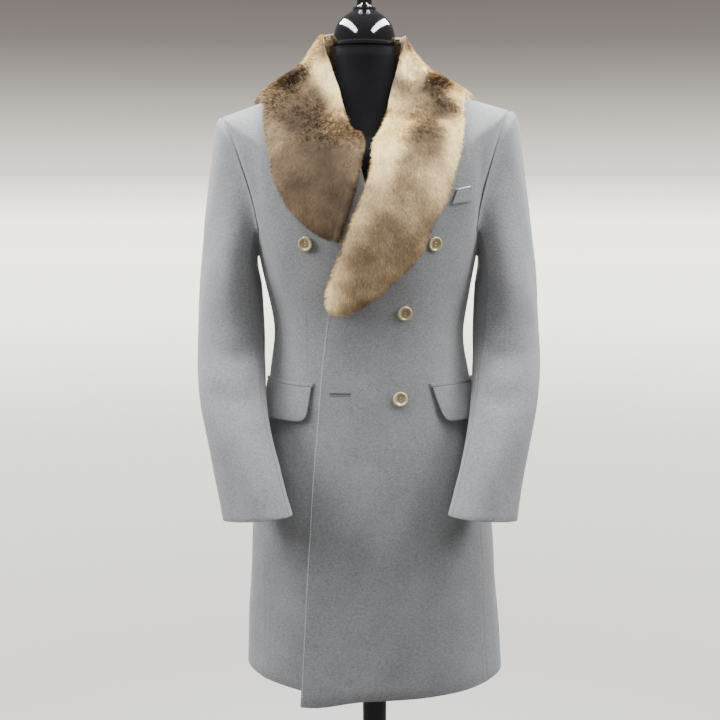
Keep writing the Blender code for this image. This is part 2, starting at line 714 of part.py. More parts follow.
def patch_mesh(hand, places, lift, cloth):
    """Cloth patch over a front from a grid of (angle, level) places, lifted off it."""
    outer = [[cloth_point(hand, angle, level, lift + cloth) for angle, level in row] for row in places]
    inner = [[cloth_point(hand, angle, level, lift) for angle, level in row] for row in places]
    return wall_mesh(outer, inner)


def level_at(z):
    return (z - HEM_Z) / (ARMPIT_Z - HEM_Z)


def flap_angle(hand, share, slant):
    """Angle along a pocket flap, from its front end to its rear end."""
    start = angle_at(FLAP_START[hand] + slant, level_at(FLAP_TOP_Z))
    return hand * (start + FLAP_LENGTH_DEG * share)


def pocket(hand):
    flap, jet = [], []
    width = FLAP_LENGTH_DEG / seam_step(60, level_at(FLAP_TOP_Z), 1.0)
    for i in range(FLAP_ROWS):
        down = i / (FLAP_ROWS - 1)
        row = []
        for j in range(FLAP_COLUMNS):
            share = (j / (FLAP_COLUMNS - 1)) ** FLAP_CROWDING
            near = min(share * width / FLAP_CORNER, 1.0)
            cut = FLAP_CORNER_CUT * FLAP_CORNER * (1 - math.sqrt(1 - (1 - near) ** 2))
            z = FLAP_TOP_Z - (FLAP_DROP - cut) * down
            row.append((flap_angle(hand, share, FLAP_SLANT[hand] * down), level_at(z)))
        flap.append(row)
    shares = [j / (FLAP_COLUMNS - 1) for j in range(FLAP_COLUMNS)]
    along = [share + JET_OVERRUN * (2 * share - 1) for share in shares]
    for z in (FLAP_TOP_Z + 3 * SEAM_GAP, FLAP_TOP_Z + JET_HEIGHT / 2, FLAP_TOP_Z + JET_HEIGHT):
        jet.append([(flap_angle(hand, share, 0.0), level_at(z)) for share in along])
    for name, places in (("_flap", flap), ("_jet", jet)):
        maker = patch_mesh(hand, places, TRIM_LIFT, TRIM_CLOTH)
        add_object(SIDE_NAMES[hand] + name, maker, WOOL_GREY, WOOL_ROUGHNESS)


def breast_welt():
    rows = []
    for i in range(WELT_ROWS):
        up = i / (WELT_ROWS - 1)
        inner = np.array(WELT_INNER[0]) * (1 - up) + np.array(WELT_INNER[1]) * up
        outer = np.array(WELT_OUTER[0]) * (1 - up) + np.array(WELT_OUTER[1]) * up
        row = []
        for j in range(WELT_COLUMNS):
            x, z = inner + (outer - inner) * j / (WELT_COLUMNS - 1)
            row.append(front_place(x + lean_at(z), z))
        rows.append(row)
    add_object("breast_welt", patch_mesh(LEFT, rows, TRIM_LIFT, TRIM_CLOTH), WOOL_GREY, WOOL_ROUGHNESS)


def turned_mesh(profile, radius, height, sides):
    """Solid of revolution about Z from (radius share, height share) rows that start and end on the axis."""
    maker = bmesh.new()
    corners = [maker.verts.new((r * radius, 0, h * height)) for r, h in profile]
    edges = [maker.edges.new(pair) for pair in zip(corners, corners[1:])]
    bmesh.ops.spin(maker, geom=corners + edges, axis=(0, 0, 1), cent=(0, 0, 0),
                   angle=2 * math.pi, steps=sides, use_merge=True)
    return maker


def button(number, hand, past, z):
    angle, level = front_place(past + lean_at(z), z)
    maker = turned_mesh(BUTTON_PROFILE, BUTTON_RADIUS, BUTTON_RADIUS, BUTTON_SIDES)
    item = add_object("button_%d" % number, maker, HORN, 0.35)
    normal = Vector(body_normal(angle, level))
    turn = normal.to_track_quat("Z", "Y").to_matrix().to_4x4()
    item.matrix_world = Matrix.Translation(Vector(cloth_point(hand, angle, level, BUTTON_LIFT))) @ turn


def form_torso():
    """Smooth torso under the coat, closed at the hips, with a round neck."""
    maker = bmesh.new()
    low = level_at(FORM_BOTTOM_Z)
    levels = [low + (1 - low) * i / (FORM_ROWS - 1) for i in range(FORM_ROWS)] + FORM_LEVELS
    rings = []
    for level in levels:
        ring = []
        for j in range(FORM_SIDES):
            angle = 360 * j / FORM_SIDES - 180
            clear = WOOL + FORM_REST + FORM_CLEAR * (1 - ease(level, *FORM_FADE))
            ring.append(body_point(angle, level) - body_normal(angle, level) * clear)
        rings.append(ring)
    for point in rings[0]:
        point[2] = FORM_BOTTOM_Z
    neck_rim = rings[-1]
    for share, z in ((NECK_BLEND, NECK_LOW_Z), (1.0, NECK_LOW_Z), (1.0, NECK_TOP_Z)):
        ring = []
        for j in range(FORM_SIDES):
            angle = math.radians(360 * j / FORM_SIDES - 180)
            aside, ahead = NECK_RADIUS * math.sin(angle), NECK_RADIUS * math.cos(angle)
            column = np.array((lean_at(z) + aside, -ahead, z))
            ring.append(neck_rim[j] * (1 - share) + column * share)
        rings.append(ring)
    faces = [[maker.verts.new(point) for point in ring] for ring in rings]
    for before, after in zip(faces, faces[1:]):
        for j in range(FORM_SIDES):
            k = (j + 1) % FORM_SIDES
            maker.faces.new((before[j], before[k], after[k], after[j]))
    maker.faces.new(faces[0])
    maker.faces.new(faces[-1])
    add_object("torso", maker, FORM_BLACK, 0.5)


def dress_form():
    form_torso()
    cap_mesh = turned_mesh(CAP_PROFILE, CAP_RADIUS, CAP_HEIGHT, TURNED_SIDES)
    cap = add_object("neck_cap", cap_mesh, FORM_BLACK, 0.12)
    cap.location = (lean_at(CAP_Z), 0, CAP_Z)
    knob_mesh = turned_mesh(FINIAL_PROFILE, FINIAL_RADIUS, FINIAL_RADIUS, TURNED_SIDES)
    knob = add_object("finial", knob_mesh, FORM_BLACK, 0.12)
    knob.location = (lean_at(CAP_Z), 0, CAP_Z + CAP_HEIGHT + SEAM_GAP)
    reach = FORM_BOTTOM_Z - BASE_HEIGHT - 2 * SEAM_GAP
    rod = ((0.0, 0.0), (1.0, 0.0), (1.0, reach), (0.0, reach))
    pole = add_object("pole", turned_mesh(rod, POLE_RADIUS, 1.0, TURNED_SIDES), FORM_BLACK, 0.3, 1.0)
    pole.location = (0, 0, BASE_HEIGHT + SEAM_GAP)
    add_object("base", turned_mesh(BASE_PROFILE, BASE_RADIUS, 1.0, TURNED_SIDES), FORM_BLACK, 0.35, 1.0)


def build_all():
    for item in list(bpy.data.objects):
        bpy.data.objects.remove(item)
    for hand in (LEFT, RIGHT):
        front_panel(hand)
        side_panel(hand)
        back_panel(hand)
        sleeve(hand)
        collar_half(hand)
        pocket(hand)
    breast_welt()
    for number, row in enumerate(BUTTON_ROWS, 1):
        button(number, *row)
    dress_form()
    bpy.context.view_layer.update()


if __name__ == "__main__":
    build_all()
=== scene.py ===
"""Looks of a double-breasted wool overcoat with a fur shawl collar, on a limbless dress form.

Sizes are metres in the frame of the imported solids: +Z is up, the coat faces -Y, +X is the wearer's left.
"""
import logging
import math
from contextlib import contextmanager
from dataclasses import dataclass
from enum import Enum
from functools import cache
from itertools import product
from typing import Iterable, Iterator, Optional

import bmesh
import bpy
import numpy as np
from mathutils import Matrix, Vector, noise
from mathutils.bvhtree import BVHTree


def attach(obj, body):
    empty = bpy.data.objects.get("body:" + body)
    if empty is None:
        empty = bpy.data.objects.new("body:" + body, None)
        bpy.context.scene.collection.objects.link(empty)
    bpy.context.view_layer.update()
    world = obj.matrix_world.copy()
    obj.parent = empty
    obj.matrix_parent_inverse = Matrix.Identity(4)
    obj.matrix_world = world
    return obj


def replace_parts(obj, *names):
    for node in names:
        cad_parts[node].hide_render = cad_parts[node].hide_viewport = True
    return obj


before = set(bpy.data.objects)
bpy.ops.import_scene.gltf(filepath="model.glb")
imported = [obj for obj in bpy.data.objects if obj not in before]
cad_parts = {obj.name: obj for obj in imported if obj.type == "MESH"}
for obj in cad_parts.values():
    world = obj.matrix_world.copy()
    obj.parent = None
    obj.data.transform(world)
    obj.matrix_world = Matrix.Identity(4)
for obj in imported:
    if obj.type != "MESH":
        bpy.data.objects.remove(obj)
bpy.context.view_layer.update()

LOG = logging.getLogger("overcoat")
Triple = tuple[float, float, float]
Line = tuple[tuple[float, float], tuple[float, float]]
BODY = "root"
HEM_Z = 0.486
TOP_LEAN = -0.0165
LEAN_RISE = 0.934


class Held(Enum):
    """How a piece of cloth is held."""

    HUNG = "hung"
    STRETCHED = "stretched"
    LAID = "laid"


class Side(Enum):
    """Sides of the wearer."""

    LEFT = 1
    RIGHT = -1

    @property
    def word(self) -> str:
        """Name of the side in the names of pieces."""
        return self.name.lower()


def lean_at(height: float) -> float:
    """Sideways drift of the coat's centre line at a height."""
    return TOP_LEAN * (height - HEM_Z) / LEAN_RISE


def ease(value: np.ndarray, low: float, high: float) -> np.ndarray:
    """Goes smoothly from 0 at low to 1 at high."""
    share = np.clip((value - low) / (high - low), 0.0, 1.0)
    return share * share * (3 - 2 * share)


class Board:
    """Node tree of a material or a group, with short ways to place and join nodes."""

    def __init__(self, tree: bpy.types.NodeTree) -> None:
        """Keeps the tree."""
        self.tree = tree

    def feed(self, socket: bpy.types.NodeSocket, value: object) -> None:
        """Joins an output to an input socket, or sets the input to a constant.

        Args:
            socket: the input socket.
            value: the output socket or the constant.
        """
        if isinstance(value, bpy.types.NodeSocket):
            self.tree.links.new(value, socket)
        else:
            socket.default_value = value

    def set(self, node: bpy.types.Node, values: dict) -> None:
        """Feeds several inputs of a node, by name or number."""
        for name, value in values.items():
            self.feed(node.inputs[name], value)

    def place(self, kind: str, inputs: Optional[dict] = None, **settings: object) -> bpy.types.Node:
        """Adds a node.

        Args:
            kind: Blender's name of the node type.
            inputs: socket name or number to a constant, or to an output socket to join.
            settings: properties of the node itself.

        Returns:
            The new node.
        """
        node = self.tree.nodes.new(kind)
        for name, value in settings.items():
            setattr(node, name, value)
        self.set(node, inputs or {})
        return node

    def math(self, operation: str, first: object, second: object) -> bpy.types.NodeSocket:
        """Puts a two-number sum in the tree and gives its result."""
        return self.place("ShaderNodeMath", {0: first, 1: second}, operation=operation).outputs[0]

    def weigh(self, first: object, second: object, share: float) -> bpy.types.NodeSocket:
        """Adds two numbers, the first with its share and the second with the rest."""
        rest = self.math("MULTIPLY", second, 1 - share)
        return self.math("ADD", self.math("MULTIPLY", first, share), rest)

    def swing(self, value: object, amount: object) -> bpy.types.NodeSocket:
        """Turns a number round one half into a swing round nothing."""
        return self.math("MULTIPLY", self.math("SUBTRACT", value, 0.5), amount)

    def mix(self, share: object, first: object, second: object, blend: str = "MIX") -> bpy.types.NodeSocket:
        """Mixes two colours.

        Args:
            share: how much the second colour counts.
            first: the first colour.
            second: the second colour.
            blend: Blender's name of the way of mixing.

        Returns:
            The mixed colour.
        """
        node = self.place("ShaderNodeMix", data_type="RGBA", blend_type=blend)
        sockets = {socket.identifier: socket for socket in node.inputs}
        for name, value in (("Factor_Float", share), ("A_Color", first), ("B_Color", second)):
            self.feed(sockets[name], value)
        return next(socket for socket in node.outputs if socket.identifier == "Result_Color")

    def noise(self, vector: object, scale: float, detail: float) -> bpy.types.NodeSocket:
        """Adds a noise and gives its value."""
        inputs = {"Vector": vector, "Scale": scale, "Detail": detail}
        return self.place("ShaderNodeTexNoise", inputs).outputs["Fac"]

    def stretch(self, vector: object, scale: Triple) -> bpy.types.NodeSocket:
        """Scales a vector and gives the result."""
        return self.place("ShaderNodeMapping", {"Vector": vector, "Scale": scale}).outputs["Vector"]

    def ramp(self, share: object, rows: tuple) -> bpy.types.NodeSocket:
        """Adds a colour ramp.

        Args:
            share: the number that is looked up.
            rows: places from 0 to 1 in rising order, each with its colour.

        Returns:
            The colour.
        """
        node = self.place("ShaderNodeValToRGB", {"Fac": share})
        stops = node.color_ramp.elements
        while len(stops) < len(rows):
            stops.new(1.0)
        for stop, (place, colour) in zip(stops, rows):
            stop.position, stop.color = place, (*colour, 1.0)
        return node.outputs["Color"]

    def effect(self, group: bpy.types.NodeTree, values: dict[str, float]) -> bpy.types.Node:
        """Places a shared effect on Object coordinates.

        Args:
            group: the effect.
            values: its numbers by name.

        Returns:
            The effect's node.
        """
        spot = self.place("ShaderNodeTexCoord").outputs["Object"]
        return self.place("ShaderNodeGroup", {"Vector": spot, **values}, node_tree=group)


def make_group(name: str, inputs: tuple[str, ...], outputs: tuple[str, ...]) -> tuple:
    """Starts a shader node group.

    Args:
        name: name of the group.
        inputs: names of its number inputs, after a vector called Vector.
        outputs: names of its number outputs.

    Returns:
        The board, the group's input node and its output node.
    """
    tree = bpy.data.node_groups.new(name, "ShaderNodeTree")
    tree.interface.new_socket("Vector", in_out="INPUT", socket_type="NodeSocketVector")
    for words, way in ((inputs, "INPUT"), (outputs, "OUTPUT")):
        for word in words:
            tree.interface.new_socket(word, in_out=way, socket_type="NodeSocketFloat")
    board = Board(tree)
    return board, board.place("NodeGroupInput"), board.place("NodeGroupOutput")


FIBRE_ROWS = (520.0, 520.0, 1150.0)
FIBRE_FLECKS = (260.0, 260.0, 420.0)
FUZZ_SCALE = 1900.0
CLOUD_SCALE = 26.0


@cache
def fibres_effect() -> bpy.types.NodeTree:
    """Heathered felted fibres: a tone, and a height for the bump.

    Returns:
        The group, built once.
    """
    board, source, target = make_group("fibres", ("Cloud", "Fleck"), ("Tone", "Height"))
    spot = source.outputs["Vector"]
    rows = board.noise(board.stretch(spot, FIBRE_ROWS), 1.0, 3.0)
    flecks = board.noise(board.stretch(spot, FIBRE_FLECKS), 1.0, 4.0)
    fuzz = board.noise(spot, FUZZ_SCALE, 2.0)
    fine = board.swing(board.weigh(rows, flecks, 0.5), source.outputs["Fleck"])
    soft = board.swing(board.noise(spot, CLOUD_SCALE, 3.0), source.outputs["Cloud"])
    tone = board.math("ADD", board.math("ADD", fine, soft), 0.5)
    board.set(target, {"Tone": tone, "Height": board.weigh(rows, fuzz, 0.6)})
    return board.tree


@cache
def grain_effect() -> bpy.types.NodeTree:
    """Streaks and specks of hard surfaces, as two masks.

    Returns:
        The group, built once.
    """
    board, source, target = make_group("grain", ("Streak Scale", "Speck Scale"), ("Streak", "Speck"))
    for mask, detail, bend in (("Streak", 4.0, 1.5), ("Speck", 2.0, 0.0)):
        inputs = {"Vector": source.outputs["Vector"], "Scale": source.outputs[mask + " Scale"],
                  "Detail": detail, "Distortion": bend}
        board.set(target, {mask: board.place("ShaderNodeTexNoise", inputs).outputs["Fac"]})
    return board.tree


def start_material(name: str) -> tuple[bpy.types.Material, Board, bpy.types.Node]:
    """Makes an empty node material.

    Args:
        name: name of the material.

    Returns:
        The material, its board and its Principled shader.
    """
    material = bpy.data.materials.new(name)
    material.use_nodes = True
    return material, Board(material.node_tree), material.node_tree.nodes["Principled BSDF"]


@dataclass(frozen=True)
class ClothFinish:
    """Felted or knitted cloth with heathered fibres."""

    name: str
    dark: Triple
    light: Triple
    cloud: float = 0.35
    fleck: float = 2.2
    bump: float = 0.35
    bump_depth: float = 0.0006
    roughness: float = 0.92
    sheen: float = 0.25
    sheen_roughness: float = 0.45
    gloss: float = 0.2

    def material(self) -> bpy.types.Material:
        """Makes the material.

        Returns:
            A material on Object coordinates.
        """
        material, board, shader = start_material(self.name)
        fibres = board.effect(fibres_effect(), {"Cloud": self.cloud, "Fleck": self.fleck})
        bump = board.place("ShaderNodeBump", {"Height": fibres.outputs["Height"], "Strength": self.bump,
                                              "Distance": self.bump_depth})
        board.set(shader, {
            "Base Color": board.mix(fibres.outputs["Tone"], (*self.dark, 1.0), (*self.light, 1.0)),
            "Normal": bump.outputs["Normal"], "Roughness": self.roughness, "Specular IOR Level": self.gloss,
            "Sheen Weight": self.sheen, "Sheen Roughness": self.sheen_roughness,
        })
        return material


@dataclass(frozen=True)
class FurFinish:
    """Pile that takes its tone from the strands' own colour attribute."""

    name: str
    attribute: str
    cloud: float = 0.5
    fleck: float = 0.8
    fibre_share: float = 0.35
    roughness: float = 0.70
    gloss: float = 0.06

    def material(self) -> bpy.types.Material:
        """Makes the material.

        Returns:
            A material that reads the colour attribute.
        """
        material, board, shader = start_material(self.name)
        tone = board.place("ShaderNodeVertexColor", layer_name=self.attribute).outputs["Color"]
        fibres = board.effect(fibres_effect(), {"Cloud": self.cloud, "Fleck": self.fleck})
        shade = board.mix(self.fibre_share, tone, fibres.outputs["Tone"], "SOFT_LIGHT")
        board.set(shader, {
            "Base Color": shade, "Roughness": self.roughness, "Specular IOR Level": self.gloss,
        })
        return material


@dataclass(frozen=True)
class HardFinish:
    """Polished or painted hard surface with faint streaks."""

    name: str
    dark: Triple
    light: Triple
    roughness: float
    streak_scale: float
    speck_scale: float
    coat: float = 0.0
    coat_roughness: float = 0.08
    spread: tuple[float, float] = (0.8, 1.25)

    def material(self) -> bpy.types.Material:
        """Makes the material.

        Returns:
            A material on Object coordinates.
        """
        material, board, shader = start_material(self.name)
        scales = {"Streak Scale": self.streak_scale, "Speck Scale": self.speck_scale}
        grain = board.effect(grain_effect(), scales)
        low, high = (self.roughness * share for share in self.spread)
        rough = board.place("ShaderNodeMapRange", {"Value": grain.outputs["Speck"], "From Min": 0.3,
                                                   "From Max": 0.7, "To Min": low, "To Max": high})
        board.set(shader, {
            "Base Color": board.mix(grain.outputs["Streak"], (*self.dark, 1.0), (*self.light, 1.0)),
            "Roughness": rough.outputs["Result"], "Coat Weight": self.coat,
            "Coat Roughness": self.coat_roughness,
        })
        return material


@dataclass(frozen=True)
class HornFinish:
    """Polished horn: pale rim, browner dished middle and faint streaks."""

    name: str
    pale: Triple
    brown: Triple
    attribute: str
    streak_scale: float = 210.0
    speck_scale: float = 900.0
    dish_share: float = 0.62
    streak_share: float = 0.35
    roughness: tuple[float, float] = (0.22, 0.42)
    coat: float = 0.3
    coat_roughness: float = 0.1

    def material(self) -> bpy.types.Material:
        """Makes the material.

        Returns:
            A material on Object coordinates and the dish attribute.
        """
        material, board, shader = start_material(self.name)
        scales = {"Streak Scale": self.streak_scale, "Speck Scale": self.speck_scale}
        grain = board.effect(grain_effect(), scales)
        dish = board.place("ShaderNodeVertexColor", layer_name=self.attribute).outputs["Color"]
        streak = board.math("MULTIPLY", grain.outputs["Streak"], self.streak_share)
        share = board.math("ADD", board.math("MULTIPLY", dish, self.dish_share), streak)
        low, high = self.roughness
        rough = board.place("ShaderNodeMapRange", {"Value": grain.outputs["Speck"],
                                                   "To Min": low, "To Max": high})
        board.set(shader, {
            "Base Color": board.mix(share, (*self.pale, 1.0), (*self.brown, 1.0)),
            "Roughness": rough.outputs["Result"], "Coat Weight": self.coat,
            "Coat Roughness": self.coat_roughness,
        })
        return material


MERGE = 1e-5
QUAD_ANGLE, QUAD_SHAPE = 0.6, 2.2
RIM_ANGLE = math.radians(42)
RIM_ROUND = 0.0006
ANY_WIDTH = 1.0
NAP = 0.00012


def link_mesh(name: str, mesh: bpy.types.Mesh) -> bpy.types.Object:
    """Puts a mesh in the scene as an object at the origin.

    Args:
        name: name of the object.
        mesh: its mesh.

    Returns:
        The object.
    """
    item = bpy.data.objects.new(name, mesh)
    bpy.context.scene.collection.objects.link(item)
    return item


def mesh_of(maker: bmesh.types.BMesh, name: str) -> bpy.types.Object:
    """Puts a finished bmesh in the scene, with its faces pointing out.

    Args:
        maker: the bmesh, which is freed.
        name: name of the object and its mesh.

    Returns:
        The object.
    """
    bmesh.ops.recalc_face_normals(maker, faces=maker.faces)
    mesh = bpy.data.meshes.new(name)
    maker.to_mesh(mesh)
    maker.free()
    return link_mesh(name, mesh)


@contextmanager
def reshaped(item: bpy.types.Object) -> Iterator[bmesh.types.BMesh]:
    """Opens a piece's mesh for changes and puts the changed one back.

    Args:
        item: the piece.

    Yields:
        Its mesh as a bmesh.
    """
    maker = bmesh.new()
    maker.from_mesh(item.data)
    yield maker
    maker.to_mesh(item.data)
    maker.free()


def copy_solid(node: str) -> bmesh.types.BMesh:
    """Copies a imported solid's mesh, merged and back in quads.

    Args:
        node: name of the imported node.

    Returns:
        A new bmesh.
    """
    maker = bmesh.new()
    maker.from_mesh(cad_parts[node].data)
    bmesh.ops.remove_doubles(maker, verts=maker.verts, dist=MERGE)
    bmesh.ops.join_triangles(maker, faces=maker.faces, angle_face_threshold=QUAD_ANGLE,
                             angle_shape_threshold=QUAD_SHAPE)
    return maker


def spun(profile: Iterable[tuple[float, float]], steps: int) -> bmesh.types.BMesh:
    """Spins a profile round the upright axis.

    Args:
        profile: radius and height of each point, from axis to axis.
        steps: faces round the turn.

    Returns:
        A new closed bmesh.
    """
    maker = bmesh.new()
    corners = [maker.verts.new((radius, 0, height)) for radius, height in profile]
    edges = [maker.edges.new(pair) for pair in zip(corners, corners[1:])]
    bmesh.ops.spin(maker, geom=corners + edges, axis=(0, 0, 1), cent=(0, 0, 0),
                   angle=2 * math.pi, steps=steps, use_merge=True)
    bmesh.ops.remove_doubles(maker, verts=maker.verts, dist=MERGE)
    return maker


def rim_edges(maker: bmesh.types.BMesh, widest: float = ANY_WIDTH) -> list[bmesh.types.BMEdge]:
    """Finds a cloth wall's rim, and leaves out folds across it where a width is given.

    Args:
        maker: the wall.
        widest: how wide the narrower face beside a rim may be.

    Returns:
        The sharp edges that bound a face that narrow.
    """
    paired = [edge for edge in maker.edges if len(edge.link_faces) == 2]
    sharp = [edge for edge in paired if edge.calc_face_angle() > RIM_ANGLE]
    return [edge for edge in sharp
            if min(side.calc_length() for face in edge.link_faces for side in face.edges) < widest]


def apply_modifiers(item: bpy.types.Object) -> None:
    """Keeps what a piece's modifiers make of it, and takes them off.

    Args:
        item: the piece.
    """
    coarse = item.data
    graph = bpy.context.evaluated_depsgraph_get()
    item.data = bpy.data.meshes.new_from_object(item.evaluated_get(graph))
    item.data.name = item.name
    item.modifiers.clear()
    bpy.data.meshes.remove(coarse)


def round_off(node: str, name: str, levels: int, widest: Optional[float] = ANY_WIDTH) -> bpy.types.Object:
    """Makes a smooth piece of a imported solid.

    Args:
        node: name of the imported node.
        name: name of the new object.
        levels: subdivision levels.
        widest: how wide the narrower face beside a kept rim may be, or nothing where no rim is kept.

    Returns:
        The smooth object, with no modifier left.
    """
    maker = copy_solid(node)
    if widest is not None:
        layer = maker.edges.layers.float.new("crease_edge")
        for edge in rim_edges(maker, widest):
            edge[layer] = 1.0
    mesh = bpy.data.meshes.new(name)
    maker.to_mesh(mesh)
    maker.free()
    item = link_mesh(name, mesh)
    smooth = item.modifiers.new("smooth", "SUBSURF")
    smooth.levels = smooth.render_levels = levels
    apply_modifiers(item)
    return item


def round_rim(item: bpy.types.Object) -> None:
    """Rounds the sharp edges of a cloth piece, as a turned and pressed edge is."""
    with reshaped(item) as maker:
        bmesh.ops.bevel(maker, geom=rim_edges(maker), offset=RIM_ROUND, offset_type="OFFSET", segments=2,
                        profile=0.5, affect="EDGES", material=-1, clamp_overlap=True)


def relax(item: bpy.types.Object, low: float, rounds: int) -> None:
    """Eases cloth above a height, as steam shrinks it over the shoulders, with its edges kept.

    Args:
        item: the piece.
        low: the height.
        rounds: how often it is eased.
    """
    with reshaped(item) as maker:
        rim = {corner for edge in rim_edges(maker) for corner in edge.verts}
        free = [corner for corner in maker.verts if corner.co.z > low and corner not in rim]
        for _ in range(rounds if free else 0):
            bmesh.ops.smooth_vert(maker, verts=free, factor=0.5,
                                  use_axis_x=True, use_axis_y=True, use_axis_z=True)


def read_points(mesh: bpy.types.Mesh) -> np.ndarray:
    """Reads a mesh's points.

    Args:
        mesh: the mesh.

    Returns:
        Rows of x, y, z.
    """
    flat = np.empty(len(mesh.vertices) * 3, np.float32)
    mesh.vertices.foreach_get("co", flat)
    return flat.reshape(-1, 3).astype(float)


def write_points(mesh: bpy.types.Mesh, points: np.ndarray) -> None:
    """Puts moved points back in a mesh."""
    mesh.vertices.foreach_set("co", points.astype(np.float32).ravel())
    mesh.update()


def raise_nap(mesh: bpy.types.Mesh) -> None:
    """Swells a cloth wall by its short nap, which fills most of a seam's gap.

    Args:
        mesh: the wall.
    """
    facing = np.empty(len(mesh.vertices) * 3, np.float32)
    mesh.vertex_normals.foreach_get("vector", facing)
    write_points(mesh, read_points(mesh) + NAP * facing.reshape(-1, 3))


def paint(mesh: bpy.types.Mesh, layer: str, shades: np.ndarray) -> None:
    """Stores one colour a point in a mesh.

    Args:
        mesh: the mesh.
        layer: name of the colour attribute.
        shades: rows of red, green and blue.
    """
    rows = np.concatenate([np.clip(shades, 0, 1), np.ones((len(shades), 1))], axis=1)
    colours = mesh.color_attributes.new(layer, "FLOAT_COLOR", "POINT")
    colours.data.foreach_set("color", rows.astype(np.float32).ravel())


def half_area(mesh: bpy.types.Mesh) -> float:
    """Area of one face of a closed cloth wall."""
    return sum(polygon.area for polygon in mesh.polygons) / 2


def tree_of(*items: bpy.types.Object) -> BVHTree:
    """Makes one search tree of several meshes.

    Args:
        items: mesh objects at the origin.

    Returns:
        The tree.
    """
    points: list[Vector] = []
    faces: list[list[int]] = []
    for item in items:
        offset = len(points)
        points += [vertex.co.copy() for vertex in item.data.vertices]
        faces += [[offset + index for index in polygon.vertices] for polygon in item.data.polygons]
    return BVHTree.FromPolygons(points, faces)


def settle(item: bpy.types.Object, material: bpy.types.Material) -> bpy.types.Object:
    """Dresses a finished piece, shades it smooth and rides it on the body.

    Args:
        item: the piece.
        material: its finish.

    Returns:
        The same piece.
    """
    item.data.materials.clear()
    item.data.materials.append(material)
    item.data.shade_smooth()
    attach(item, BODY)
    LOG.info("%s: %d faces", item.name, len(item.data.polygons))
    return item


FOLD_ENDS = (0.06, 0.94)
FOLD_POWER = 0.7
RIPPLES = ((31.0, 17.0, 1.3), (43.0, -23.0, 0.4), (71.0, -38.0, 2.1))
SHORT_RIPPLE = 0.6


@dataclass(frozen=True)
class Fold:
    """One soft crease: a line on the cloth, its half width, and how far it stands out or sinks."""

    line: tuple[Triple, ...]
    width: float
    rise: float

    def lift(self, points: np.ndarray) -> np.ndarray:
        """Works out the push on some points.

        Args:
            points: rows of x, y, z.

        Returns:
            One distance a point, away from the centre line if positive.
        """
        line = np.array(self.line)
        best = np.full(len(points), np.inf)
        along = np.zeros(len(points))
        done = 0.0
        for start, end in zip(line, line[1:]):
            step = end - start
            length = np.linalg.norm(step)
            share = np.clip((points - start) @ step / length ** 2, 0.0, 1.0)
            gap = np.linalg.norm(points - start - share[:, None] * step, axis=1)
            along = np.where(gap < best, done + share * length, along)
            best = np.minimum(best, gap)
            done += length
        taper = np.sin(np.pi * np.clip(along / done, *FOLD_ENDS)) ** FOLD_POWER
        return self.rise * np.exp(-(best / self.width) ** 2) * taper


@dataclass(frozen=True)
class Drape:
    """The way one part of the coat hangs: its centre line, its folds and a slight unevenness.

    Folds fade out above the calm heights, where the cloth is tailored; seams do not.
    """

    axis: tuple[Triple, ...]
    folds: tuple[Fold, ...]
    seams: tuple[Fold, ...] = ()
    ripple: float = 0.0007
    calm: tuple[float, float] = (1.22, 1.34)

    def move(self, points: np.ndarray) -> np.ndarray:
        """Pushes points out from the centre line or in towards it.

        Args:
            points: rows of x, y, z.

        Returns:
            The moved points.
        """
        heights, *sides = (np.array(column) for column in zip(*sorted(self.axis)))
        level = points[:, 2]
        away = points[:, :2] - np.stack([np.interp(level, heights, side) for side in sides], 1)
        away /= np.maximum(np.linalg.norm(away, axis=1), 1e-6)[:, None]
        amount = sum((fold.lift(points) for fold in self.folds), np.zeros(len(points)))
        x, y, z = points.T
        first, second, third = (np.sin(across * flat + up * z + start)
                                for flat, (across, up, start) in zip((x, y, x), RIPPLES))
        amount += self.ripple * (first * second + SHORT_RIPPLE * third)
        amount *= 1 - ease(level, *self.calm)
        amount += sum((seam.lift(points) for seam in self.seams), np.zeros(len(points)))
        moved = points.copy()
        moved[:, :2] += away * amount[:, None]
        return moved


@dataclass(frozen=True)
class Cut:
    """One piece as it is cut: its name, the rectangle it is cut from, and what the cut has of it.

    on is the piece or form that it hangs or lies on. An eased one is steamed over the shoulders.
    """

    name: str
    flat: tuple[float, float]
    area: float
    held: Held
    on: str
    eased: bool = False


@dataclass(frozen=True)
class WoolPiece:
    """One cut piece of wool cloth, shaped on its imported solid."""

    node: str
    cut: Cut
    rests_on: str
    levels: int = 2
    wall: float = 0.004
    eased_above: float = 1.335
    easing: int = 24

    def build(self, drape: Drape, material: bpy.types.Material) -> bpy.types.Object:
        """Args:
            drape: how this part of the coat hangs.
            material: the wool.

        Returns:
            The piece.
        """
        cut = self.cut
        widest = self.wall if cut.eased else ANY_WIDTH
        item = round_off(self.node, self.node + "_cloth", self.levels, widest)
        relax(item, self.eased_above, self.easing if cut.eased else 0)
        round_rim(item)
        write_points(item.data, drape.move(read_points(item.data)))
        raise_nap(item.data)
        settle(item, material)
        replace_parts(item, self.node)
        LOG.info("%s: %.4f square metres of cloth", self.node, half_area(item.data))
        return item


PILE_TONE = "pile_tone"
DISH = "dish"
PILE_RAMP = (
    (0.00, (0.047, 0.031, 0.018)),
    (0.20, (0.090, 0.060, 0.035)),
    (0.40, (0.166, 0.113, 0.064)),
    (0.60, (0.335, 0.240, 0.132)),
    (0.80, (0.640, 0.480, 0.250)),
    (1.00, (0.980, 0.860, 0.480)),
)


def pile_colours(tones: np.ndarray) -> np.ndarray:
    """Turns tones from 0, brown, to 1, cream, into rows of red, green and blue."""
    places, colours = zip(*PILE_RAMP)
    return np.stack([np.interp(tones, places, column) for column in zip(*colours)], 1)


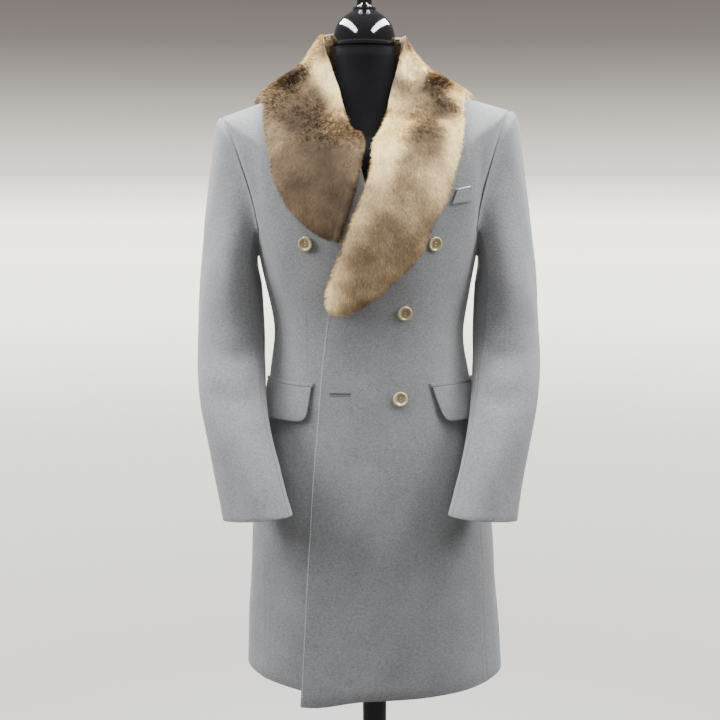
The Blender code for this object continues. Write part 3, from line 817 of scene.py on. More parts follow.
@dataclass(frozen=True)
class FurCollar:
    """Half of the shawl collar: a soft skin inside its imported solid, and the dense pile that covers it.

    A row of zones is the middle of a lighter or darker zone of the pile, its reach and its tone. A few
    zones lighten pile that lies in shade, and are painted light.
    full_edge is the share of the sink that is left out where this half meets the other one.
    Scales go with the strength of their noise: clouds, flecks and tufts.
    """

    side: Side
    zones: tuple[tuple[float, float, float, float, float], ...]
    full_edge: float
    seed: int
    plain_tone: float = 0.42
    plain_weight: float = 0.05
    cloud_scale: float = 48.0
    cloud: float = 0.11
    fleck_scale: float = 330.0
    fleck: float = 0.07
    tone_spread: float = 0.07
    back_seam: float = 0.006
    meets_ahead: float = -0.06
    meets_below: float = 1.40
    meets_facing: tuple[float, float] = (0.3, 0.8)
    sink: float = 0.0066
    # The skin's tone is the pile's, darkened: painted shade under the pile
    skin_painted_shade: float = 0.85
    strands: int = 175000
    length: float = 0.0086
    lengths: tuple[float, float] = (0.78, 1.15)
    longest: float = 1.2
    shortest: float = 0.0012
    width: float = 0.0011
    fall: Triple = (0.0, -0.25, -1.0)
    least_fall: float = 0.2
    lean: float = 0.80
    tuft_scale: float = 110.0
    tuft: float = 0.34
    scatter: float = 0.22
    twist: float = 0.5
    shade_spread: tuple[float, float] = (0.9, 1.08)
    # Shares of a blade's tone at its two root points and its tip: painted shade at the roots and a little
    # painted light at the tip, as the pile casts no shadow
    blade_painted_shading: Triple = (0.80, 0.80, 1.08)
    skin_facing: float = 0.8
    blade_facing: float = 0.4

    @property
    def node(self) -> str:
        """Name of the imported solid."""
        return self.side.word + "_collar"

    def tones(self, points: np.ndarray, jitter: np.random.Generator) -> np.ndarray:
        """Tone of the pile at some points.

        Args:
            points: rows of x, y, z.
            jitter: source of the strand-to-strand difference.

        Returns:
            Tones from 0 to 1.
        """
        total = np.full(len(points), self.plain_weight)
        tone = total * self.plain_tone
        for *middle, reach, shade in self.zones:
            gap = np.linalg.norm(points - np.array(middle), axis=1)
            weight = np.exp(-(gap / reach) ** 2)
            total += weight
            tone += weight * shade
        cloud = np.array([noise.fractal(Vector(point) * self.cloud_scale, 1.0, 2.0, 3) for point in points])
        fleck = np.array([noise.noise(Vector(point) * self.fleck_scale) for point in points])
        spread = jitter.normal(0.0, self.tone_spread, len(points))
        return np.clip(tone / total + self.cloud * cloud + self.fleck * fleck + spread, 0.0, 1.0)

    def skin(self, material: bpy.types.Material) -> bpy.types.Object:
        """Models the skin that the pile grows from.

        Args:
            material: the fur.

        Returns:
            The skin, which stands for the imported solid.
        """
        item = round_off(self.node, self.node + "_skin", 2, widest=None)
        points = read_points(item.data)
        normals = np.array([vertex.normal for vertex in item.data.vertices])
        x, y, z = points.T
        normals[(np.abs(x - TOP_LEAN) < self.back_seam) & (y > 0), 0] = 0.0
        inward = ease(normals[:, 0] * -self.side.value, *self.meets_facing)
        meets = inward * (y < self.meets_ahead) * (z < self.meets_below)
        depth = self.sink * (1 - self.full_edge * meets)
        write_points(item.data, points - normals * depth[:, None])
        tones = self.tones(points, np.random.default_rng(self.seed))
        # The skin gets the pile's tones, darkened as painted shade under the pile
        paint(item.data, PILE_TONE, pile_colours(tones) * self.skin_painted_shade)
        settle(item, material)
        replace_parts(item, self.node)
        return item

    def roots(self, skin: bpy.types.Object, dice: np.random.Generator) -> tuple[np.ndarray, np.ndarray]:
        """Spreads the strands' roots evenly over the skin.

        Args:
            skin: the skin.
            dice: source of the places.

        Returns:
            Points and outward directions.
        """
        mesh = skin.data
        mesh.calc_loop_triangles()
        corners = np.empty(len(mesh.loop_triangles) * 3, np.int32)
        mesh.loop_triangles.foreach_get("vertices", corners)
        corners = corners.reshape(-1, 3)
        points = read_points(mesh)
        normals = np.array([vertex.normal for vertex in mesh.vertices])
        a, b, c = (points[corners[:, i]] for i in range(3))
        areas = np.linalg.norm(np.cross(b - a, c - a), axis=1)
        chosen = np.searchsorted(np.cumsum(areas) / areas.sum(), dice.random(self.strands))
        u = np.sqrt(dice.random(self.strands))
        v = dice.random(self.strands)
        shares = np.stack([1 - u, u * (1 - v), u * v], 1)
        picked = corners[np.minimum(chosen, len(corners) - 1)]
        spots = (points[picked] * shares[:, :, None]).sum(1)
        ways = (normals[picked] * shares[:, :, None]).sum(1)
        return spots, ways / np.linalg.norm(ways, axis=1)[:, None]

    def room(self, cloth: BVHTree, root: Vector, way: Vector) -> float:
        """Measures how far a strand can grow.

        Args:
            cloth: the wool.
            root: the strand's root.
            way: the skin's outward direction there.

        Returns:
            Distance straight out to the wool, at most that of the longest strand.
        """
        longest = self.length * self.longest
        gap = cloth.ray_cast(root, way, longest)[3]
        return longest if gap is None else gap

    def pile(self, skin: bpy.types.Object, cloth: BVHTree,
             material: bpy.types.Material) -> bpy.types.Object:
        """Grows the strands as one joined mesh of narrow blades.

        Args:
            skin: the skin that they grow from.
            cloth: the wool, which they may not grow into.
            material: the fur.

        Returns:
            The pile.
        """
        dice = np.random.default_rng(self.seed)
        noise.seed_set(self.seed)
        spots, ways = self.roots(skin, dice)
        room = np.array([self.room(cloth, Vector(spot), Vector(way)) for spot, way in zip(spots, ways)])
        free = room > self.shortest
        spots, ways, room = spots[free], ways[free], room[free]
        count = len(spots)
        tufts = np.array([noise.noise_vector(Vector(spot) * self.tuft_scale) for spot in spots])
        down = np.array(self.fall)
        fall = down - (ways @ down)[:, None] * ways
        fall /= np.maximum(np.linalg.norm(fall, axis=1), self.least_fall)[:, None]
        flow = fall + self.tuft * tufts + dice.normal(0.0, self.scatter, (count, 3))
        flow -= (flow * ways).sum(1)[:, None] * ways
        grow = ways + self.lean * flow
        grow /= np.linalg.norm(grow, axis=1)[:, None]
        flat = np.cross(grow, ways)
        flat /= np.maximum(np.linalg.norm(flat, axis=1), 1e-6)[:, None]
        turn = dice.normal(0.0, self.twist, count)[:, None]
        flat = flat * np.cos(turn) + np.cross(grow, flat) * np.sin(turn)
        across = flat * self.width / 2
        reach = np.minimum(self.length * dice.uniform(*self.lengths, count), room)
        blade = np.stack([spots - across, spots + across, spots + grow * reach[:, None]], 1)
        facing = self.skin_facing * ways + self.blade_facing * np.cross(flat, grow)
        shade = pile_colours(self.tones(spots, dice)) * dice.uniform(*self.shade_spread, count)[:, None]
        mesh = blades_mesh(self.node + "_pile", blade.reshape(-1, 3), np.repeat(facing, 3, axis=0))
        # Roots darker and tips lighter: painted shade and light inside the pile, which casts no shadow of
        # its own
        steps = np.array(self.blade_painted_shading)
        paint(mesh, PILE_TONE, (shade[:, None, :] * steps[None, :, None]).reshape(-1, 3))
        item = settle(link_mesh(mesh.name, mesh), material)
        item.visible_shadow = False
        return item


def blades_mesh(name: str, points: np.ndarray, facing: np.ndarray) -> bpy.types.Mesh:
    """Joins many three-point blades in one mesh.

    Args:
        name: name of the mesh.
        points: three rows a blade: two at the root, one at the tip.
        facing: the direction in which each point is shaded, so that the pile shades softly as a whole.

    Returns:
        The mesh.
    """
    count = len(points) // 3
    mesh = bpy.data.meshes.new(name)
    mesh.vertices.add(len(points))
    mesh.vertices.foreach_set("co", points.astype(np.float32).ravel())
    mesh.loops.add(len(points))
    mesh.loops.foreach_set("vertex_index", np.arange(len(points), dtype=np.int32))
    mesh.polygons.add(count)
    mesh.polygons.foreach_set("loop_start", np.arange(count, dtype=np.int32) * 3)
    mesh.update(calc_edges=True)
    mesh.validate()
    mesh.shade_smooth()
    mesh.normals_split_custom_set_from_vertices(facing / np.linalg.norm(facing, axis=1)[:, None])
    return mesh


def stretch_ball(maker: bmesh.types.BMesh, middle: Vector, along: Vector, out: Vector,
                 sizes: Triple) -> None:
    """Adds one rounded stitch to a mesh.

    Args:
        maker: the mesh that gets it.
        middle: its middle.
        along: its long direction.
        out: the cloth's outward direction.
        sizes: half its length, half its width and half its height.
    """
    along = along.normalized()
    across = out.cross(along).normalized()
    up = along.cross(across)
    place = Matrix((along * sizes[0], across * sizes[1], up * sizes[2])).transposed().to_4x4()
    bmesh.ops.create_uvsphere(maker, u_segments=6, v_segments=4, radius=1.0,
                              matrix=Matrix.Translation(middle) @ place)


SEEN_FROM, SEEN_REACH = -1.0, 0.95


@dataclass(frozen=True)
class Stitching:
    """Stitches on the fronts: pick stitches along the lapping edge, a welt row, a buttonhole and a dart.
    The light pick row and the pale welt row are also painted highlights of lit edges; the dart line and the
    buttonhole's slit are painted shade.

    Lines are pairs of x and z. The size of a stitch is half its length, width and height.
    """

    inset: float = 0.0024
    step: float = 0.0046
    low: float = 0.482
    high: float = 1.110
    lap_reach: float = 0.2
    halvings: int = 18
    pick_lift: float = 0.0001
    pick_size: Triple = (0.0023, 0.0009, 0.0006)
    line_step: float = 0.0030
    welt_line: Line = ((0.1425, 1.3097), (0.1655, 1.3141))
    welt_size: Triple = (0.0020, 0.0013, 0.0007)
    dart_line: Line = ((-0.1120, 1.112), (-0.1100, 1.004))
    dart_size: Triple = (0.0019, 0.0005, 0.00025)
    slit_x: float = -0.0560
    slit_z: float = 0.984
    slit_half: float = 0.0175
    slit_size: Triple = (0.0016, 0.0008, 0.00025)
    purl_step: float = 0.0013
    purl_offset: float = 0.0021
    purl_size: Triple = (0.0014, 0.00062, 0.0006)

    @staticmethod
    def touch(tree: BVHTree, x: float, z: float) -> Optional[tuple[Vector, Vector]]:
        """Finds the cloth straight behind a place seen from ahead: its point and outward direction."""
        point, normal, _, _ = tree.ray_cast(Vector((x, SEEN_FROM, z)), Vector((0, 1, 0)), SEEN_REACH)
        return None if point is None else (point, normal)

    @staticmethod
    def sew(name: str, spots: list, size: Triple, material: bpy.types.Material, lift: float = 0.0) -> None:
        """Sews one row of stitches.

        Args:
            name: name of the row.
            spots: points of the cloth with their outward directions, or nothing where no cloth was found.
            size: size of a stitch.
            material: the thread.
            lift: how far the stitches stand off the cloth.
        """
        maker = bmesh.new()
        found = [spot for spot in spots if spot]
        for (point, normal), (after, _) in zip(found, found[1:]):
            stretch_ball(maker, point + normal * lift, after - point, normal, size)
        settle(mesh_of(maker, name), material)

    def edge_x(self, tree: BVHTree, z: float) -> Optional[float]:
        """Finds where the lapping front ends at a height.

        Args:
            tree: the lapping front alone.
            z: the height.

        Returns:
            The edge's x, or nothing where there is no cloth.
        """
        inside, outside = lean_at(z), lean_at(z) - self.lap_reach
        if self.touch(tree, inside, z) is None:
            return None
        for _ in range(self.halvings):
            middle = (inside + outside) / 2
            if self.touch(tree, middle, z) is None:
                outside = middle
            else:
                inside = middle
        return inside

    def pick_row(self, tree: BVHTree, material: bpy.types.Material) -> None:
        """Sews the pick stitches along the front edge, light and nearly unbroken: stitches, and also a
        painted highlight of the lit turned edge.

        Args:
            tree: the lapping front alone.
            material: the thread.
        """
        heights = [self.low + i * self.step for i in range(int((self.high - self.low) / self.step))]
        edges = [(self.edge_x(tree, z), z) for z in heights]
        spots = [self.touch(tree, x + self.inset, z) for x, z in edges if x is not None]
        self.sew("edge_stitches_painted_highlight", spots, self.pick_size, material, self.pick_lift)

    def line_spots(self, tree: BVHTree, line: Line, shift: float = 0.0) -> list:
        """Finds the cloth at even steps along a line seen from ahead.

        Args:
            tree: the piece that the line lies on.
            line: x and z of its two ends.
            shift: how far the line is moved aside.

        Returns:
            Points and outward directions.
        """
        (x, z), (end_x, end_z) = line
        count = int(max(abs(end_x - x), abs(end_z - z)) / self.line_step)
        shares = [i / count for i in range(count + 1)]
        return [self.touch(tree, shift + x + (end_x - x) * t, z + (end_z - z) * t) for t in shares]

    def welt_row(self, tree: BVHTree, material: bpy.types.Material) -> None:
        """Sews the row along the upper edge of the breast welt, in pale thread that is also a painted
        highlight of the welt's lit top edge.
        """
        spots = self.line_spots(tree, self.welt_line, lean_at(self.welt_line[0][1]))
        self.sew("welt_stitches_painted_highlight", spots, self.welt_size, material)

    def dart(self, tree: BVHTree, material: bpy.types.Material) -> None:
        """Sews a row of dark stitches along the waist dart of the covered front: painted shade of the
        dart's seam.
        """
        self.sew("dart_stitches_painted_shade", self.line_spots(tree, self.dart_line), self.dart_size, material)

    def buttonhole(self, tree: BVHTree, material: bpy.types.Material, shade: bpy.types.Material) -> None:
        """Sews the worked buttonhole: its purled rim and its slit.

        Args:
            tree: the lapping front alone.
            material: the thread.
            shade: the slit's dark gap, painted shade.
        """
        rim = bmesh.new()
        count = int(2 * self.slit_half / self.purl_step)
        places = [self.slit_x - self.slit_half + i * self.purl_step for i in range(count + 1)]
        spots = [self.touch(tree, x, self.slit_z) for x in places]
        for (point, normal), (after, _) in zip(spots, spots[1:]):
            up = normal.cross(after - point).normalized()
            for hand in (-1, 1):
                stretch_ball(rim, point + up * hand * self.purl_offset, up, normal, self.purl_size)
        settle(mesh_of(rim, "buttonhole_purl"), material)
        self.sew("buttonhole_slit_painted_shade", spots, self.slit_size, shade)


@dataclass(frozen=True)
class HornButton:
    """One sewn button: raised rim, dished middle, holes and the thread across them.

    profile, dish and thread_height are shares of the button's radius.
    """

    number: int
    steps: int = 48
    hole_radius: float = 0.00135
    hole_spread: float = 0.0026
    hole_sides: int = 14
    drill_depth: float = 0.02
    dish: tuple[float, float] = (0.45, 0.78)
    thread_height: float = 0.235
    thread: float = 0.0006
    sharp: float = math.radians(50)
    profile: tuple[tuple[float, float], ...] = (
        (0.0, 0.0), (0.84, 0.0), (0.97, 0.06), (1.0, 0.14), (0.995, 0.24), (0.95, 0.325), (0.87, 0.365),
        (0.78, 0.355), (0.70, 0.30), (0.64, 0.25), (0.50, 0.225), (0.30, 0.215), (0.0, 0.215),
    )

    @property
    def node(self) -> str:
        """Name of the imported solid."""
        return "button_%d" % self.number

    def seat(self) -> tuple[Matrix, float]:
        """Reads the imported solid's place.

        Returns:
            The turn and place of the underside's middle, and the radius.
        """
        points = read_points(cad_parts[self.node].data)
        points = np.unique(points.round(6), axis=0)
        middle = points.mean(0)
        turn = np.linalg.svd(points - middle)[2]
        out = turn[2] if turn[2][1] < 0 else -turn[2]
        heights = (points - middle) @ out
        radius = np.linalg.norm(points - middle - heights[:, None] * out, axis=1).max()
        rotation = Vector(out).to_track_quat("Z", "Y").to_matrix().to_4x4()
        return Matrix.Translation(Vector(middle + out * heights.min())) @ rotation, float(radius)

    def disc(self, radius: float) -> bpy.types.Object:
        """Turns the button and drills its holes.

        Args:
            radius: the button's radius.

        Returns:
            The button, flat at the origin.
        """
        profile = [(r * radius, h * radius) for r, h in self.profile]
        item = mesh_of(spun(profile, self.steps), self.node + "_horn")
        drill = bmesh.new()
        ends = (-self.hole_spread, self.hole_spread)
        for x, y in product(ends, ends):
            bmesh.ops.create_cone(drill, cap_ends=True, segments=self.hole_sides, radius1=self.hole_radius,
                                  radius2=self.hole_radius, depth=self.drill_depth,
                                  matrix=Matrix.Translation((x, y, 0.0)))
        tool = mesh_of(drill, "drill")
        cut = item.modifiers.new("holes", "BOOLEAN")
        cut.operation, cut.object, cut.solver = "DIFFERENCE", tool, "EXACT"
        apply_modifiers(item)
        bpy.data.objects.remove(tool)
        points = read_points(item.data)
        depth = 1 - ease(np.hypot(points[:, 0], points[:, 1]) / radius, *self.dish)
        paint(item.data, DISH, np.repeat(depth[:, None], 3, axis=1))
        return item

    def build(self, horn: bpy.types.Material, thread: bpy.types.Material) -> None:
        """Models the button and its thread.

        Args:
            horn: the button's finish.
            thread: the thread's finish.
        """
        place, radius = self.seat()
        disc = self.disc(radius)
        sewn = bmesh.new()
        size = (self.hole_spread + self.thread, self.thread, self.thread)
        for hand in (-1, 1):
            middle = Vector((0, hand * self.hole_spread, self.thread_height * radius))
            stretch_ball(sewn, middle, Vector((1, 0, 0)), Vector((0, 0, 1)), size)
        bar = mesh_of(sewn, self.node + "_thread")
        for item in (disc, bar):
            item.data.transform(place)
        settle(disc, horn).data.set_sharp_from_angle(angle=self.sharp)
        settle(bar, thread)
        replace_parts(disc, self.node)


@dataclass(frozen=True)
class TurnedPiece:
    """A turned part of the dress form, spun round its own upright axis."""

    node: str
    profile: tuple[tuple[float, float], ...]
    x: float
    z: float
    slot: str
    steps: int = 64
    sharp: float = math.radians(40)

    def build(self, material: bpy.types.Material) -> bpy.types.Object:
        """Spins the profile and dresses it.

        Args:
            material: its finish.

        Returns:
            The piece.
        """
        maker = spun(self.profile, self.steps)
        bmesh.ops.translate(maker, verts=maker.verts, vec=(self.x, 0, self.z))
        item = settle(mesh_of(maker, self.node + "_turned"), material)
        item.data.set_sharp_from_angle(angle=self.sharp)
        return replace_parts(item, self.node)


@dataclass(frozen=True)
class DressForm:
    """The limbless form: covered torso, glossy neck cap and finial, pole and round base."""

    neck_x: float = -0.0186
    cap_z: float = 1.5403
    cap_radius: float = 0.0505
    cap_height: float = 0.0560
    finial_radius: float = 0.0195
    pole_radius: float = 0.0205
    pole_low: float = 0.0303
    pole_high: float = 0.7397
    base_radius: float = 0.190
    gap: float = 0.0003

    def pieces(self) -> list[TurnedPiece]:
        """Lists the turned pieces.

        Returns:
            Cap, finial, pole and base.
        """
        cap = ((0.0, 0.0), (0.97, 0.0), (1.0, 0.02), (1.012, 0.10), (1.01, 0.20), (0.995, 0.32),
               (0.96, 0.45), (0.90, 0.60), (0.81, 0.72), (0.69, 0.83), (0.56, 0.92), (0.45, 0.975),
               (0.42, 1.0), (0.0, 1.0))
        finial = ((0.0, 0.0), (0.96, 0.0), (1.0, 0.05), (1.0, 0.22), (0.94, 0.29), (0.70, 0.37),
                  (0.64, 0.50), (0.62, 0.80), (0.64, 1.05), (0.68, 1.30), (0.78, 1.58), (0.90, 1.84),
                  (0.98, 2.10), (1.0, 2.30), (0.96, 2.60), (0.84, 2.85), (0.62, 3.05), (0.34, 3.15),
                  (0.0, 3.18))
        rod = self.pole_high - self.pole_low
        pole = ((0.0, 0.0), (1.0, 0.0), (1.0, 0.5), (1.0, 1.0), (0.0, 1.0))
        base = ((0.0, 0.0), (0.970, 0.0), (0.985, 0.001), (0.996, 0.004), (1.0, 0.008), (0.998, 0.013),
                (0.985, 0.0175), (0.96, 0.0200), (0.60, 0.0252), (0.22, 0.0300), (0.0, 0.0300))
        return [
            TurnedPiece("neck_cap", tuple((r * self.cap_radius, h * self.cap_height) for r, h in cap),
                        self.neck_x, self.cap_z, "form_gloss"),
            TurnedPiece("finial",
                        tuple((r * self.finial_radius, h * self.finial_radius) for r, h in finial),
                        self.neck_x, self.cap_z + self.cap_height + self.gap, "form_gloss"),
            TurnedPiece("pole", tuple((r * self.pole_radius, h * rod) for r, h in pole),
                        0.0, self.pole_low, "stand_metal"),
            TurnedPiece("base", tuple((r * self.base_radius, h) for r, h in base), 0.0, 0.0, "stand_metal"),
        ]

    def build(self, finishes: dict[str, bpy.types.Material]) -> None:
        """Models and dresses the form.

        Args:
            finishes: material of each slot.
        """
        torso = round_off("torso", "torso_cover", 1)
        settle(torso, finishes["form_cover"])
        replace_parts(torso, "torso")
        for piece in self.pieces():
            piece.build(finishes[piece.slot])


BODY_AXIS = ((0.45, 0.0, 0.0), (1.45, lean_at(1.45), 0.0))
BODY_FOLDS = (
    Fold(((0.150, -0.095, 0.500), (0.138, -0.100, 0.640), (0.122, -0.098, 0.780)), 0.030, -0.0050),
    Fold(((0.196, -0.060, 0.500), (0.184, -0.062, 0.650), (0.172, -0.060, 0.780)), 0.026, 0.0035),
    Fold(((-0.168, -0.085, 0.510), (-0.156, -0.090, 0.640), (-0.146, -0.088, 0.760)), 0.028, -0.0045),
    Fold(((-0.205, -0.045, 0.500), (-0.196, -0.048, 0.640), (-0.186, -0.046, 0.760)), 0.026, 0.0032),
    Fold(((0.030, -0.168, 0.500), (0.036, -0.160, 0.640), (0.034, -0.148, 0.800)), 0.040, 0.0028),
    Fold(((-0.040, -0.168, 0.490), (-0.036, -0.160, 0.620), (-0.030, -0.150, 0.760)), 0.036, -0.0024),
    Fold(((0.085, 0.150, 0.500), (0.078, 0.146, 0.660), (0.066, 0.132, 0.860)), 0.034, 0.0050),
    Fold(((-0.095, 0.148, 0.500), (-0.086, 0.142, 0.650), (-0.074, 0.130, 0.830)), 0.034, 0.0046),
    Fold(((0.030, 0.160, 0.500), (0.028, 0.154, 0.660), (0.022, 0.138, 0.840)), 0.026, -0.0042),
    Fold(((-0.036, 0.160, 0.500), (-0.034, 0.154, 0.640), (-0.030, 0.140, 0.800)), 0.026, -0.0038),
    Fold(((0.130, -0.078, 1.000), (0.142, -0.066, 1.070), (0.148, -0.070, 1.140)), 0.022, -0.0022),
    Fold(((-0.150, -0.078, 1.005), (-0.162, -0.062, 1.070), (-0.170, -0.068, 1.140)), 0.022, -0.0022),
    Fold(((-0.150, 0.060, 1.060), (-0.080, 0.102, 1.090), (-0.020, 0.110, 1.100)), 0.020, -0.0028),
    Fold(((0.140, 0.060, 1.050), (0.070, 0.102, 1.086), (0.010, 0.110, 1.096)), 0.020, -0.0026),
    Fold(((0.095, 0.112, 1.180), (0.110, 0.108, 1.260), (0.118, 0.100, 1.330)), 0.026, 0.0030),
    Fold(((-0.120, 0.112, 1.180), (-0.136, 0.108, 1.260), (-0.146, 0.100, 1.330)), 0.026, 0.0030),
)


ARMHOLE_ROWS = (
    (0.1780, 0.0618, 1.245), (0.1813, 0.0668, 1.271), (0.1877, 0.0683, 1.302), (0.1974, 0.0640, 1.334),
    (0.2069, 0.0579, 1.365), (0.2155, 0.0502, 1.391), (0.2245, 0.0388, 1.414), (0.2337, 0.0136, 1.4315),
)
RIGHT_SHOULDER_DROP = 0.011
FLAP_EDGE_Z = 0.936
BACK_SEAM_LIFT = 0.006
SLEEVE_OUT = 0.010
# Half width and rise of the armhole seams on the body and on the sleeve.
BODY_SEAM = (0.0075, -0.0024)
SLEEVE_SEAM = (0.0065, 0.0018)
CHEST_HOLLOWS = (
    Fold(((0.170, -0.077, 1.410), (0.172, -0.081, 1.371), (0.171, -0.079, 1.332),
          (0.168, -0.074, 1.280)), 0.013, -0.0036),
    Fold(((-0.206, -0.079, 1.398), (-0.201, -0.082, 1.359), (-0.195, -0.084, 1.324),
          (-0.187, -0.083, 1.272)), 0.013, -0.0036),
)


def armhole_line(side: Side, behind: bool, out: float = 0.0) -> tuple[Triple, ...]:
    """Follows an armhole seam up to the shoulder tip.

    Args:
        side: the wearer's side.
        behind: whether it is the half over the shoulder blade.
        out: how far the line is shifted on to the sleeve.

    Returns:
        Points from the underarm to the shoulder tip.
    """
    low, high = ARMHOLE_ROWS[0][2], ARMHOLE_ROWS[-1][2]
    line = []
    for aside, ahead, height in ARMHOLE_ROWS:
        drop = RIGHT_SHOULDER_DROP * (height - low) / (high - low) if side is Side.RIGHT else 0.0
        z = height - drop + (BACK_SEAM_LIFT if behind else 0.0)
        line.append((lean_at(z) + side.value * (aside + out), ahead if behind else -ahead, z))
    return tuple(line)


def body_seams() -> tuple[Fold, ...]:
    """Sinks the body's cloth along both armholes and hollows the chest beside them."""
    lines = [armhole_line(side, behind) for side in Side for behind in (False, True)]
    return tuple(Fold(line, *BODY_SEAM) for line in lines) + CHEST_HOLLOWS


# Rows of a sleeve's folds are its distance out, forward and up.
SLEEVE_FOLDS = (
    Fold(((0.178, 0.060, 1.060), (0.215, 0.098, 1.040), (0.262, 0.088, 1.052)), 0.014, -0.0036),
    Fold(((0.176, 0.074, 1.020), (0.212, 0.118, 1.002), (0.258, 0.112, 1.014)), 0.013, 0.0026),
    Fold(((0.172, 0.096, 0.984), (0.206, 0.134, 0.968), (0.250, 0.126, 0.982)), 0.014, -0.0030),
    Fold(((0.252, 0.060, 1.290), (0.268, 0.052, 1.210), (0.274, 0.044, 1.120)), 0.022, -0.0026),
    Fold(((0.222, 0.080, 1.260), (0.222, 0.086, 1.180), (0.228, 0.090, 1.100)), 0.024, 0.0022),
    Fold(((0.196, 0.170, 0.910), (0.186, 0.186, 0.860), (0.178, 0.200, 0.810)), 0.020, 0.0022),
    Fold(((0.226, 0.158, 0.930), (0.216, 0.176, 0.870), (0.206, 0.194, 0.810)), 0.018, -0.0024),
    Fold(((0.246, -0.052, 1.060), (0.262, -0.018, 1.010), (0.264, 0.020, 0.970)), 0.018, 0.0030),
    Fold(((0.210, -0.058, 1.100), (0.222, -0.040, 1.040), (0.232, -0.006, 0.980)), 0.018, -0.0028),
)


def sleeve_drape(side: Side) -> Drape:
    """Works out how a sleeve hangs.

    Args:
        side: the wearer's side.

    Returns:
        The drape, with creases inside the elbow and soft rolls down the forearm.
    """
    hand = side.value
    rows = ((1.400, 0.205, 0.0), (1.150, 0.229, -0.008), (1.032, 0.2265, -0.048), (0.967, 0.2205, -0.088),
            (0.910, 0.2085, -0.119), (0.850, 0.1935, -0.144), (0.780, 0.1795, -0.165))
    axis = tuple((z, lean_at(z) + hand * x, y) for z, x, y in rows)

    def on_side(fold: Fold) -> Fold:
        """Puts a fold of the table on this sleeve."""
        line = tuple((lean_at(z) + hand * aside, -ahead, z) for aside, ahead, z in fold.line)
        return Fold(line, fold.width, fold.rise)

    folds = tuple(on_side(fold) for fold in SLEEVE_FOLDS)
    seams = tuple(Fold(armhole_line(side, behind, SLEEVE_OUT), *SLEEVE_SEAM) for behind in (False, True))
    return Drape(axis, folds, seams, calm=(1.22, 1.30))


def flap_drape(side: Side) -> Drape:
    """Works out how a pocket flap hangs: as the body does, and a little off it along its lower edge.

    Args:
        side: the wearer's side.

    Returns:
        The drape.
    """
    rows = ((0.050, -0.134), (0.100, -0.120), (0.145, -0.094),
            (0.172, -0.060), (0.186, -0.020), (0.190, 0.040))
    line = tuple((lean_at(FLAP_EDGE_Z) + side.value * x, y, FLAP_EDGE_Z) for x, y in rows)
    return Drape(BODY_AXIS, BODY_FOLDS + (Fold(line, 0.034, 0.0062),), body_seams())


FORM = "torso"
PAIRED_CUTS = (
    Cut("front", (0.40, 1.04), 0.31, Held.HUNG, FORM, eased=True),
    Cut("side", (0.19, 0.74), 0.11, Held.HUNG, "front"),
    Cut("back", (0.29, 1.05), 0.24, Held.HUNG, FORM, eased=True),
    Cut("upper_sleeve", (0.27, 0.68), 0.135, Held.HUNG, "front"),
    Cut("under_sleeve", (0.17, 0.55), 0.060, Held.HUNG, "side"),
    Cut("flap", (0.062, 0.175), 0.0078, Held.LAID, "front"),
    Cut("jet", (0.0105, 0.175), 0.0011, Held.STRETCHED, "front"),
)
WELT_CUT = Cut("breast_welt", (0.030, 0.036), 0.0009, Held.STRETCHED, "left_front")


@dataclass(frozen=True)
class Overcoat:
    """The coat: its cut pieces by name, its pockets, its fur and its buttons.

    under_edge is the full_edge of the collar half that lies under the other one.
    """

    buttons: int = 4
    under_edge: float = 0.9
    seed: int = 5

    def cloth(self, wool: bpy.types.Material) -> dict[str, bpy.types.Object]:
        """Cuts and hangs every piece of wool.

        Args:
            wool: the wool.

        Returns:
            The pieces by the name of their solid.
        """
        body = Drape(BODY_AXIS, BODY_FOLDS, body_seams())
        made: dict[str, bpy.types.Object] = {}
        for side in Side:
            sleeve = sleeve_drape(side)
            drapes = {"upper_sleeve": sleeve, "under_sleeve": sleeve, "flap": flap_drape(side)}
            for cut in PAIRED_CUTS:
                node = side.word + "_" + cut.name
                on = FORM if cut.on == FORM else side.word + "_" + cut.on
                made[node] = WoolPiece(node, cut, on).build(drapes.get(cut.name, body), wool)
        made[WELT_CUT.name] = WoolPiece(WELT_CUT.name, WELT_CUT, WELT_CUT.on).build(body, wool)
        return made

    def build(self, finishes: dict[str, bpy.types.Material]) -> None:
        """Builds the whole coat.

        Args:
            finishes: material of each slot, and of the thread and the buttonhole's shade.
        """
        pieces = self.cloth(finishes["wool"])
        wool_tree = tree_of(*pieces.values())
        for side, zones, edge in ((Side.LEFT, LEFT_ZONES, 0.0), (Side.RIGHT, RIGHT_ZONES, self.under_edge)):
            collar = FurCollar(side, zones, edge, self.seed + side.value)
            collar.pile(collar.skin(finishes["fur"]), wool_tree, finishes["fur"])
        lap = tree_of(pieces["left_front"])
        stitching = Stitching()
        stitching.pick_row(lap, finishes["thread"])
        # The welt row's pale thread is partly a painted highlight of the welt's lit top edge
        stitching.welt_row(tree_of(pieces["breast_welt"]), finishes["pale"])
        stitching.buttonhole(lap, finishes["purl"], finishes["slit"])
        stitching.dart(tree_of(pieces["right_front"]), finishes["purl"])
        for number in range(1, self.buttons + 1):
            HornButton(number).build(finishes["horn"], finishes["thread"])


